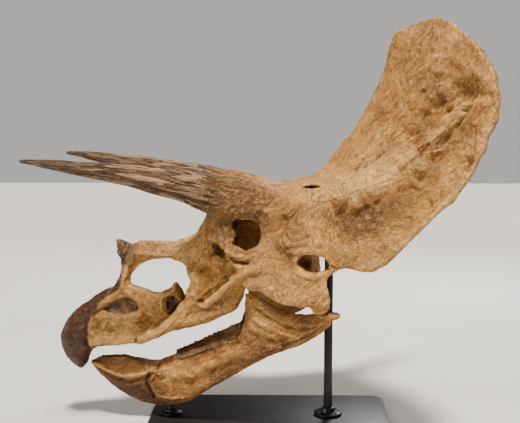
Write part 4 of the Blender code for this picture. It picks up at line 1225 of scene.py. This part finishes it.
jawRegions = (
    ("predentary", (
        (-0.80, 0.00), (-0.80, 0.36), (-0.415, 0.36), (-0.425, 0.262), (-0.455, 0.20), (-0.440, 0.118),
        (-0.33, 0.098), (-0.28, 0.00),
    ), wide),
    ("dentary", ((-0.60, 0.00), (-0.60, 0.70), (0.50, 0.70), (0.50, 0.00)), (0.00015, 0.60)),
)


def insetOutline(outline, distance):
    points = np.array(outline, float)
    ahead = np.roll(points, -1, axis=0) - points
    area = np.sum(points[:, 0] * np.roll(points[:, 1], -1) - np.roll(points[:, 0], -1) * points[:, 1])
    inward = np.stack([-ahead[:, 1], ahead[:, 0]], axis=1) * np.sign(area)
    inward /= np.linalg.norm(inward, axis=1, keepdims=True)
    corner = inward + np.roll(inward, 1, axis=0)
    return points + distance * corner / (0.5 * np.sum(corner * corner, axis=1, keepdims=True))


def largestSurface(item):
    # drops the crumbs that a cut leaves
    mesh = item.data
    edges, count = edgesOf(mesh), len(mesh.vertices)
    label = np.arange(count)
    while True:
        low = np.minimum(label[edges[:, 0]], label[edges[:, 1]])
        before = label.copy()
        np.minimum.at(label, edges[:, 0], low)
        np.minimum.at(label, edges[:, 1], low)
        label = label[label]
        if (label == before).all():
            break
    names, sizes = np.unique(label, return_counts=True)
    if len(names) > 1:
        drop = np.flatnonzero(label != names[np.argmax(sizes)])
        bm = bmesh.new()
        bm.from_mesh(mesh)
        bm.verts.ensure_lookup_table()
        bmesh.ops.delete(bm, geom=[bm.verts[i] for i in drop], context="VERTS")
        bm.to_mesh(mesh)
        bm.free()
    return item


def carved(whole, name, outline, span):
    piece = newObject(name, whole.data.copy())
    low, high = span
    gap = build["gap"]
    region = prism("region", insetOutline(outline, gap), (low + gap, high - gap))
    boolean(piece, region, "INTERSECT")
    bpy.data.objects.remove(region)
    cutBy(whole, prism("region", outline, span))
    return largestSurface(piece)


def carvedAll(whole, regions):
    pieces = []
    for name, outline, width in regions:
        if isinstance(width, tuple):
            pieces.append(carved(whole, name + "_left", outline, (-width[1], -width[0])))
            pieces.append(carved(whole, name + "_right", outline, width))
        else:
            pieces.append(carved(whole, name, outline, (-width, width)))
    return pieces


def rod(name, place, grow=0.0):
    bottom = standForm["base"]["thickness"] - grow
    bm = bmesh.new()
    bmesh.ops.create_cone(
        bm, cap_ends=True, segments=48, radius1=place["radius"] + grow, radius2=place["radius"] + grow,
        depth=place["top"] + grow - bottom,
    )
    bm.transform(Matrix.Translation((place["x"], 0, (place["top"] + grow + bottom) / 2)))
    mesh = bpy.data.meshes.new(name)
    bm.to_mesh(mesh)
    bm.free()
    return newObject(name, mesh)


def pierced(skull):
    # cut before the polish, and again after it for crisp rims
    for side in (-1, 1):
        for name in ("temple", "roofSlit"):
            (x, y, z), half, tilt, swing = holes[name]
            cutBy(skull, ellipsoid("hole", (x, side * y, z), half, tilt, -side * swing))
        low, high = sorted(side * y for y in orbit["span"])
        cutBy(skull, prism("orbit", smoothOutline(orbit["outline"]), (low, high)))
    return cutBy(skull, ellipsoid("hole", *holes["cord"]))


def upperSkull():
    voxel = build["skullVoxel"]
    forms = [frillBody(), flatBone("rostral"), flatBone("premaxilla")]
    for name, rows in middleForms.items():
        forms.append(loft(name, [(x, 0, z, high, half) for x, z, high, half in rows]))
    for name in ("condyle", "narisCorner", "noseCorner"):
        forms.append(ellipsoid(name, *lumps[name]))
    for side in (-1, 1):
        for name, rows in bars.items():
            forms.append(loft(name, [(x, side * y, z, r, r) for x, y, z, r in rows], squareness=2.0))
        for name in ("lacrimal", "browFoot", "hornFoot"):
            (x, y, z), half = lumps[name]
            forms.append(ellipsoid(name, (x, side * y, z), half))
        forms.append(flatBone("maxilla", side))
        forms.append(flatBone("cheek", side, cheekLateral))
    print("skull forms", len(forms))
    skull = remeshed(joined(forms, "skull"), voxel)
    polished(skull, 2, 0)
    pierced(skull)
    cutBy(skull, prism("nostril", smoothOutline(nostril), (-0.3, 0.3)))
    for name in ("large", "small"):
        for span in ((-0.3, -recesses["floor"]), (recesses["floor"], 0.3)):
            cutBy(skull, prism("recess", smoothOutline(recesses[name]), span))
    skull = largestSurface(remeshed(skull, voxel))
    polished(skull, 3, int(0.09 / voxel))
    largestSurface(pierced(skull))
    sculpted(skull, ("frill", "cheek", "nose"), voxel)
    weathered(skull, voxel)
    print("skull surface", len(skull.data.polygons))
    front, back, face, bottom = (jawJoint[key] for key in ("frontX", "backX", "z", "bottom"))
    under = ((front, bottom), (front, face), (back, face), (back, bottom))
    cutBy(skull, prism("joint", under, (-wide, wide)))
    return cutBy(skull, rod("seat", standForm["rear"], build["gap"]))


def lowerJaw():
    voxel = build["jawVoxel"]
    forms = [predentaryBody(), flatBone("dentary", -1, jawLateral), flatBone("dentary", 1, jawLateral)]
    jaw = largestSurface(remeshed(joined(forms, "jaw"), voxel))
    polished(jaw, 3, int(0.06 / voxel))
    sculpted(jaw, ("jaw",), voxel)
    weathered(jaw, voxel, jaw=True)
    print("jaw surface", len(jaw.data.polygons))
    front, back, top = (jawJoint[key] for key in ("frontX", "backX", "top"))
    face = jawJoint["z"] - build["gap"]
    above = ((front, face), (front, top), (back, top), (back, face))
    cutBy(jaw, prism("joint", above, (-wide, wide)))
    return cutBy(jaw, rod("seat", standForm["front"], build["gap"]))


# teeth

teethForm = {
    "lower": {
        "start": (-0.345, 0.054, 0.280), "end": (-0.075, 0.124, 0.388),
        "count": 28, "point": 1, "height": 0.024,
    },
    "upper": {
        "start": (-0.335, 0.078, 0.424), "end": (-0.085, 0.152, 0.522),
        "count": 24, "point": -1, "height": 0.018,
    },
    "width": 0.0165, "depth": 0.0150, "uneven": 0.28, "seed": 5,
}


class Tree:
    # a Geometry Nodes tree that is put together by calls
    def __init__(self, name, inputs):
        self.tree = bpy.data.node_groups.new(name, "GeometryNodeTree")
        self.tree.interface.new_socket("Geometry", in_out="INPUT", socket_type="NodeSocketGeometry")
        self.keys = {}
        for label, kind in inputs.items():
            made = self.tree.interface.new_socket(label, in_out="INPUT", socket_type="NodeSocket" + kind)
            self.keys[label] = made.identifier
        self.tree.interface.new_socket("Geometry", in_out="OUTPUT", socket_type="NodeSocketGeometry")
        self.source = self.tree.nodes.new("NodeGroupInput")
        self.sink = self.tree.nodes.new("NodeGroupOutput")

    def given(self, label):
        return self.source.outputs[label]

    def add(self, kind, settings=None, inputs=None, output=0):
        item = self.tree.nodes.new(kind)
        for key, value in (settings or {}).items():
            setattr(item, key, value)
        for key, value in (inputs or {}).items():
            if isinstance(value, bpy.types.NodeSocket):
                self.tree.links.new(value, item.inputs[key])
            else:
                item.inputs[key].default_value = value
        return item.outputs[output]

    def end(self, geometry, material):
        real = self.add("GeometryNodeRealizeInstances", inputs={"Geometry": geometry})
        done = self.add("GeometryNodeSetMaterial", inputs={"Geometry": real, "Material": material})
        self.tree.links.new(done, self.sink.inputs[0])

    def run(self, name, start, values):
        # makes the tree's geometry as a plain mesh
        item = newObject(name, start)
        step = item.modifiers.new(name, "NODES")
        step.node_group = self.tree
        for label, value in values.items():
            step[self.keys[label]] = value
        return applied(item)


def toothTree(material):
    tree = Tree("toothRow", {
        "Height": "Float", "Width": "Float", "Depth": "Float",
        "Uneven": "Float", "Seed": "Int", "Point": "Float",
    })
    # one crown: a narrow, tapering cone
    crown = tree.add("GeometryNodeMeshCone", {"fill_type": "NGON"}, {
        "Vertices": 10, "Side Segments": 3, "Fill Segments": 1,
        "Radius Top": 0.34, "Radius Bottom": 0.5, "Depth": 1.0,
    })
    size = tree.add("ShaderNodeCombineXYZ", inputs={
        "X": tree.given("Width"), "Y": tree.given("Depth"), "Z": tree.given("Height"),
    })
    crown = tree.add("GeometryNodeTransform", inputs={
        "Geometry": crown, "Scale": size, "Translation": (0, 0, -0.008),
    })
    low = tree.add("ShaderNodeMath", {"operation": "SUBTRACT"}, {0: 1.0, 1: tree.given("Uneven")})
    tall = tree.add("FunctionNodeRandomValue", {"data_type": "FLOAT"}, {
        "Min": low, "Max": 1.1, "Seed": tree.given("Seed"),
    }, output=1)
    stretch = tree.add("ShaderNodeMath", {"operation": "MULTIPLY"}, {0: tall, 1: tree.given("Point")})
    scale = tree.add("ShaderNodeCombineXYZ", inputs={"X": 1.0, "Y": 1.0, "Z": stretch})
    lean = tree.add("FunctionNodeRandomValue", {"data_type": "FLOAT_VECTOR"}, {
        "Min": (-0.10, -0.12, -0.5), "Max": (0.10, 0.12, 0.5), "Seed": tree.given("Seed"),
    }, output=0)
    row = tree.add("GeometryNodeInstanceOnPoints", inputs={
        "Points": tree.given("Geometry"), "Instance": crown, "Rotation": lean, "Scale": scale,
    })
    tree.end(row, material)
    return tree


def toothRow(tree, name, side):
    row = teethForm[name]
    start, end = np.array(row["start"]), np.array(row["end"])
    mesh = bpy.data.meshes.new("toothPlaces")
    places = [start + (end - start) * i / (row["count"] - 1) for i in range(row["count"])]
    mesh.from_pydata([(x, side * y, z) for x, y, z in places], [], [])
    made = tree.run(name + "Teeth" + ("Left" if side < 0 else "Right"), mesh, {
        "Height": row["height"], "Width": teethForm["width"], "Depth": teethForm["depth"],
        "Uneven": teethForm["uneven"], "Seed": teethForm["seed"] + side, "Point": float(row["point"]),
    })
    facingOut(made)
    return made


# finishes

boneColours = {
    "tan": (0.500, 0.216, 0.050),
    "cream": (0.840, 0.480, 0.158),
    "gold": (0.560, 0.255, 0.030),
    "rust": (0.360, 0.130, 0.026),
    "brown": (0.150, 0.058, 0.016),
    "umber": (0.040, 0.016, 0.006),
    "grey": (0.320, 0.176, 0.082),
    "horn": (0.200, 0.114, 0.062),
    "hornPale": (0.480, 0.295, 0.155),
    "hornRed": (0.180, 0.072, 0.032),
    "beak": (0.074, 0.028, 0.010),
    "beakPale": (0.235, 0.118, 0.052),
    "rock": (0.170, 0.110, 0.060),
}


plainColours = {
    "tooth": (0.30, 0.165, 0.075),
    "toothDark": (0.13, 0.062, 0.028),
    "toothPale": (0.46, 0.30, 0.16),
    "steel": (0.018, 0.018, 0.019),
    "dust": (0.045, 0.043, 0.040),
    "floor": (0.60, 0.585, 0.565),
    "floorPale": (0.635, 0.62, 0.60),
}


def fossilBone(name, shade, warmth):
    shader = Shader(name, Specular_IOR_Level=0.35)
    place = shader.place()
    grain, hornGrain = shader.attribute("grain", "Vector"), shader.attribute("hornGrain", "Vector")
    relief, hollow, toneAndPaintedLight = (shader.attribute(key) for key in ("relief", "hollow", "toneAndPaintedLight"))
    horn, beak, infill = (shader.attribute(key) for key in ("horn", "beak", "infill"))
    colours = boneColours

    patches = shader.noise(place, 3.1, 3, 0.5, 0.4)
    blotches = shader.noise(place, 10.5, 6, 0.66, 0.8)
    stains = shader.noise(shader.stretched(place, (1, 1, 1), (4.1, 2.2, 0.7)), 6.5, 6, 0.66, 1.0)
    mottle = shader.noise(place, 34, 5, 0.68, 0.5)
    speckle = shader.noise(place, 130, 3, 0.6)
    fibre = shader.noise(grain, 78, 5, 0.70, 0.5)
    streak = shader.noise(shader.stretched(grain, (1, 1, 1), (2.0, 5.0, 1.0)), 17, 5, 0.64, 0.9)
    groove = shader.noise(hornGrain, 52, 6, 0.66, 0.5)
    band = shader.noise(shader.stretched(hornGrain, (1, 1, 1), (1.0, 3.0, 2.0)), 24, 4, 0.6, 0.7)
    pits = shader.cells(place, 150)
    # thin branching lines where a noise passes its middle
    netMap = shader.noise(place, 64, 4, 0.62, 0.9)
    creaseMap = shader.noise(shader.stretched(grain, (1, 1, 1), (7.0, 1.0, 3.0)), 36, 4, 0.62, 0.6)
    net = 1.0 - abs(netMap - 0.5).between(0.0, 0.045)
    crease = (1.0 - abs(creaseMap - 0.5).between(0.0, 0.030)) * blotches.between(0.40, 0.56)
    split = 1.0 - abs(groove - 0.5).between(0.0, 0.045)

    colour = shader.mix(patches.between(0.40, 0.62), colours["tan"], colours["gold"])
    colour = shader.mix(streak.between(0.46, 0.64) * 0.45, colour, colours["cream"])
    colour = shader.mix(blotches.between(0.52, 0.66) * 0.45, colour, colours["cream"])
    colour = shader.mix(stains.between(0.50, 0.62) * 0.75, colour, colours["rust"])
    colour = shader.mix((1.0 - streak).between(0.54, 0.70) * 0.40, colour, colours["grey"])
    # pale where the tone is above 0 and dark below it: partly the bone's own colour, partly painted highlight
    # and painted shade
    colour = shader.mix((toneAndPaintedLight + 0.25 * mottle - 0.125).between(0.0, 1.1) * 0.80, colour, colours["cream"])
    colour = shader.mix((0.0 - toneAndPaintedLight - 0.5 * mottle + 0.25).between(0.0, 1.1) * 0.90, colour, colours["brown"])
    colour = shader.mix(fibre.between(0.52, 0.70) * 0.24, colour, colours["brown"])
    colour = shader.mix(fibre.between(0.48, 0.30) * 0.25, colour, colours["cream"])
    colour = shader.mix(mottle.between(0.53, 0.68) * 0.34, colour, colours["brown"])
    # painted highlight on raised relief
    colour = shader.mix(relief.between(0.05, 0.8) * 0.60, colour, colours["cream"])
    dark = (net * patches.between(0.58, 0.44) * 0.7).most(crease)
    colour = shader.mix(dark * 0.66, colour, colours["umber"])
    colour = shader.mix(speckle.between(0.54, 0.68) * 0.30, colour, colours["cream"])

    hornColour = shader.mix(band.between(0.40, 0.62) * 0.75, colours["horn"], colours["hornPale"])
    hornColour = shader.mix(stains.between(0.48, 0.64) * 0.50, hornColour, colours["hornRed"])
    # painted highlight on the raised relief of the horns
    hornColour = shader.mix(relief.between(0.05, 0.7) * 0.65, hornColour, colours["hornPale"])
    hornColour = shader.mix((0.0 - toneAndPaintedLight).between(0.1, 1.0) * 0.50, hornColour, colours["umber"])
    hornColour = shader.mix(groove.between(0.50, 0.60) * 0.75, hornColour, colours["umber"])
    hornColour = shader.mix(split * 0.90, hornColour, colours["umber"])
    hornColour = shader.mix(speckle.between(0.54, 0.68) * 0.35, hornColour, colours["hornPale"])
    beakColour = shader.mix(mottle.between(0.50, 0.64) * 0.55, colours["beak"], colours["beakPale"])
    beakColour = shader.mix(stains.between(0.50, 0.64) * 0.50, beakColour, colours["umber"])
    rockColour = shader.mix(blotches.between(0.45, 0.62), colours["rock"], colours["grey"])
    rockColour = shader.mix(mottle.between(0.50, 0.62) * 0.7, rockColour, colours["umber"])

    colour = shader.mix(horn, colour, hornColour)
    colour = shader.mix(beak, colour, beakColour)
    colour = shader.mix(infill, colour, rockColour)
    # painted shade: darker in hollows, and darker still in grooves
    colour = shader.mix(hollow.between(0.08, 0.80) * 0.55, colour, colours["brown"])
    colour = shader.mix((0.0 - relief).between(0.15, 1.0) * 0.50, colour, colours["umber"])
    tint = tuple(shade * part for part in warmth)
    colour = shader.mix(1.0, colour, tint, "MULTIPLY")

    height = (fibre * 0.20 + 0.36 * mottle + 0.70 * blotches - 0.24 * crease - 0.14 * net) * (1.0 - horn)
    height = height + (0.3 * band - 0.7 * groove - 0.45 * split) * horn + 0.20 * speckle
    height = height - (0.36 - pits).between(0.0, 0.36) * (0.12 + 0.70 * beak + 0.4 * infill)
    rough = 0.56 + 0.26 * blotches - 0.30 * beak
    return shader.finish(
        Base_Color=colour, Roughness=rough, Normal=shader.bump(height, 0.017, 1.0),
    )


def toothEnamel():
    shader = Shader("toothEnamel", Specular_IOR_Level=0.5)
    place = shader.place()
    lines = shader.noise(shader.stretched(place, (1, 1, 0.25)), 190, 3, 0.5)
    stains = shader.noise(place, 30, 4, 0.6)
    colour = shader.mix(stains.between(0.40, 0.62), plainColours["tooth"], plainColours["toothDark"])
    colour = shader.mix(lines.between(0.5, 0.66) * 0.5, colour, plainColours["toothPale"])
    return shader.finish(
        Base_Color=colour, Roughness=0.34 + 0.25 * stains, Normal=shader.bump(lines + stains, 0.002, 0.8),
    )


def blackSteel():
    shader = Shader("blackSteel", Metallic=0.35, Specular_IOR_Level=0.5)
    place = shader.place()
    cloud = shader.noise(place, 7, 4, 0.6)
    dust = shader.noise(place, 210, 2, 0.5)
    colour = shader.mix(dust.between(0.50, 0.75) * 0.35, plainColours["steel"], plainColours["dust"])
    return shader.finish(
        Base_Color=colour, Roughness=0.30 + 0.22 * cloud, Normal=shader.bump(dust, 0.0006, 0.35),
    )


def paleFloor():
    shader = Shader("paleFloor", Specular_IOR_Level=0.3)
    cloud = shader.noise(shader.place(), 0.8, 3, 0.5)
    colour = shader.mix(cloud.between(0.35, 0.65), plainColours["floor"], plainColours["floorPale"])
    return shader.finish(Base_Color=colour, Roughness=0.62 + 0.1 * cloud)


# stand

fittings = {
    "rear": {
        "flange": 0.062, "height": 0.012, "collar": 0.030, "collarHeight": 0.034,
        "screws": 4, "ring": 0.046,
    },
    "front": {
        "flange": 0.048, "height": 0.010, "collar": 0.025, "collarHeight": 0.022,
        "screws": 4, "ring": 0.035,
    },
    "screw": {"radius": 0.0062, "height": 0.0048, "socket": 0.0032},
}


def basePlate():
    base = standForm["base"]
    bm = bmesh.new()
    bmesh.ops.create_cube(bm, size=1.0)
    bm.transform(Matrix.Diagonal((base["length"], base["width"], base["thickness"], 1.0)))
    upright = [e for e in bm.edges if abs(e.verts[0].co.z - e.verts[1].co.z) > base["thickness"] / 2]
    bmesh.ops.bevel(bm, geom=upright, offset=base["corner"], segments=12, affect="EDGES", profile=0.5)
    top = [e for e in bm.edges if all(v.co.z > 0 for v in e.verts)]
    bmesh.ops.bevel(bm, geom=top, offset=base["edge"], segments=3, affect="EDGES", profile=0.5)
    bm.transform(Matrix.Translation((base["x"], 0, base["thickness"] / 2)))
    mesh = bpy.data.meshes.new("basePlate")
    bm.to_mesh(mesh)
    bm.free()
    return newObject("basePlate", mesh)


def turned(name, profile, x, sides=64):
    # a round piece from its half profile (radius, z), about an upright axis
    points, faces = [], []
    for radius, z in profile:
        for k in range(sides):
            angle = 2 * math.pi * k / sides
            points.append((x + radius * math.cos(angle), radius * math.sin(angle), z))
    for i in range(len(profile) - 1):
        for k in range(sides):
            n = (k + 1) % sides
            faces.append((i * sides + k, i * sides + n, (i + 1) * sides + n, (i + 1) * sides + k))
    faces += [tuple(range(sides)), tuple(range((len(profile) - 1) * sides, len(profile) * sides))]
    return facingOut(meshFrom(name, points, faces))


def post(name, place, fitting):
    # rod, collar and flange turned as one
    floor = standForm["base"]["thickness"] + 0.0003
    f, r = fitting, place["radius"]
    profile = (
        (f["flange"] - 0.0015, floor), (f["flange"], floor + 0.0015),
        (f["flange"], floor + f["height"] - 0.003),
        (f["flange"] - 0.003, floor + f["height"]), (f["collar"] + 0.004, floor + f["height"]),
        (f["collar"], floor + f["height"] + 0.004), (f["collar"], floor + f["collarHeight"] - 0.003),
        (f["collar"] - 0.003, floor + f["collarHeight"]), (r, floor + f["collarHeight"]),
        (r, floor + f["collarHeight"] + 0.0005), (r, place["top"] - 0.001), (r - 0.001, place["top"]),
    )
    return turned(name, profile, place["x"])


def screwTree(material):
    tree = Tree("screwRing", {
        "Count": "Int", "Ring": "Float", "Radius": "Float", "Height": "Float", "Socket": "Float",
    })
    ring = tree.add("GeometryNodeCurvePrimitiveCircle", inputs={
        "Resolution": tree.given("Count"), "Radius": tree.given("Ring"),
    })
    head = tree.add("GeometryNodeMeshCylinder", inputs={
        "Vertices": 32, "Radius": tree.given("Radius"), "Depth": tree.given("Height"),
    })
    socket = tree.add("GeometryNodeMeshCylinder", inputs={
        "Vertices": 6, "Radius": tree.given("Socket"), "Depth": tree.given("Height"),
    })
    lift = tree.add("ShaderNodeMath", {"operation": "MULTIPLY"}, {0: tree.given("Height"), 1: 0.5})
    up = tree.add("ShaderNodeCombineXYZ", inputs={"Z": lift})
    socket = tree.add("GeometryNodeTransform", inputs={"Geometry": socket, "Translation": up})
    cut = {"operation": "DIFFERENCE", "solver": "EXACT"}
    screw = tree.add("GeometryNodeMeshBoolean", cut, {0: head, 1: socket})
    places = tree.add("GeometryNodeInstanceOnPoints", inputs={"Points": ring, "Instance": screw})
    tree.end(places, material)
    return tree


def screws(tree, name, place, fitting):
    values = fittings["screw"]
    made = tree.run(name, bpy.data.meshes.new(name), {
        "Count": fitting["screws"], "Ring": fitting["ring"], "Radius": values["radius"],
        "Height": values["height"], "Socket": values["socket"],
    })
    height = standForm["base"]["thickness"] + fitting["height"] + values["height"] / 2
    turn = Matrix.Rotation(math.radians(45), 4, "Z")
    made.data.transform(Matrix.Translation((place["x"], 0, height)) @ turn)
    return made


# putting it together

materials = {
    "bone": fossilBone("fossilBone", 1.0, (1.0, 1.0, 1.0)),
    # the jaw's copy is darker and redder: partly its own reddish colour, partly painted shade for the jaw
    # lying low under the skull
    "jawBone": fossilBone("jawBone", 0.78, (1.0, 0.93, 0.82)),
    "snoutBone": fossilBone("snoutBone", 1.0, (0.98, 1.0, 1.12)),
    "tooth": toothEnamel(),
    "steel": blackSteel(),
    "floor": paleFloor(),
}
finishOf = {
    "nasal": "snoutBone", "nasal_horn": "snoutBone", "premaxilla": "bone", "rostral": "bone",
    "predentary": "jawBone", "dentary_left": "jawBone", "dentary_right": "jawBone",
}
slotOf = {
    "brow_horn_left": "horn_core", "brow_horn_right": "horn_core", "nasal_horn": "horn_core",
    "rostral": "beak", "predentary": "beak",
}


def dress(piece, material, slot, *nodes):
    piece.data.materials.clear()
    piece.data.materials.append(material)
    piece.data.polygons.foreach_set("use_smooth", [True] * len(piece.data.polygons))
    piece.data.polygons.foreach_set("material_index", [0] * len(piece.data.polygons))
    piece.data.set_sharp_from_angle(angle=math.radians(build["sharpAngle"]))
    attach(piece, "root")
    if nodes:
        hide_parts(*nodes)


makeCamera()
makeLights()
floorMesh = bpy.data.meshes.new("floor")
far = studio["floorReach"]
floorMesh.from_pydata([(-far, -far, 0), (far, -far, 0), (far, far, 0), (-far, far, 0)], [], [(0, 1, 2, 3)])
floorMesh.materials.append(materials["floor"])
floor = newObject("floor", floorMesh)
print("stage ready")

skull = upperSkull()
bones = carvedAll(skull, skullRegions)
skull.name = "cranium"
bones.append(largestSurface(skull))
print("skull parted")
jaw = lowerJaw()
bones += carvedAll(jaw, jawRegions)
bpy.data.objects.remove(jaw)
print("jaw parted")
for bone in bones:
    node = bone.name.split(".")[0]
    bone.name = node + "_bone"
    dress(bone, materials[finishOf.get(node, "bone")], slotOf.get(node, "bone"), node)

teeth = toothTree(materials["tooth"])
for rowName in ("lower", "upper"):
    for side in (-1, 1):
        dress(toothRow(teeth, rowName, side), materials["tooth"], "bone")
print("teeth set")

dress(basePlate(), materials["steel"], "steel", "stand_base")
ring = screwTree(materials["steel"])
for key in ("rear", "front"):
    dress(post(key + "Post", standForm[key], fittings[key]), materials["steel"], "steel", "stand_post_" + key)
    dress(screws(ring, key + "Screws", standForm[key], fittings[key]), materials["steel"], "steel")
print("stand ready")
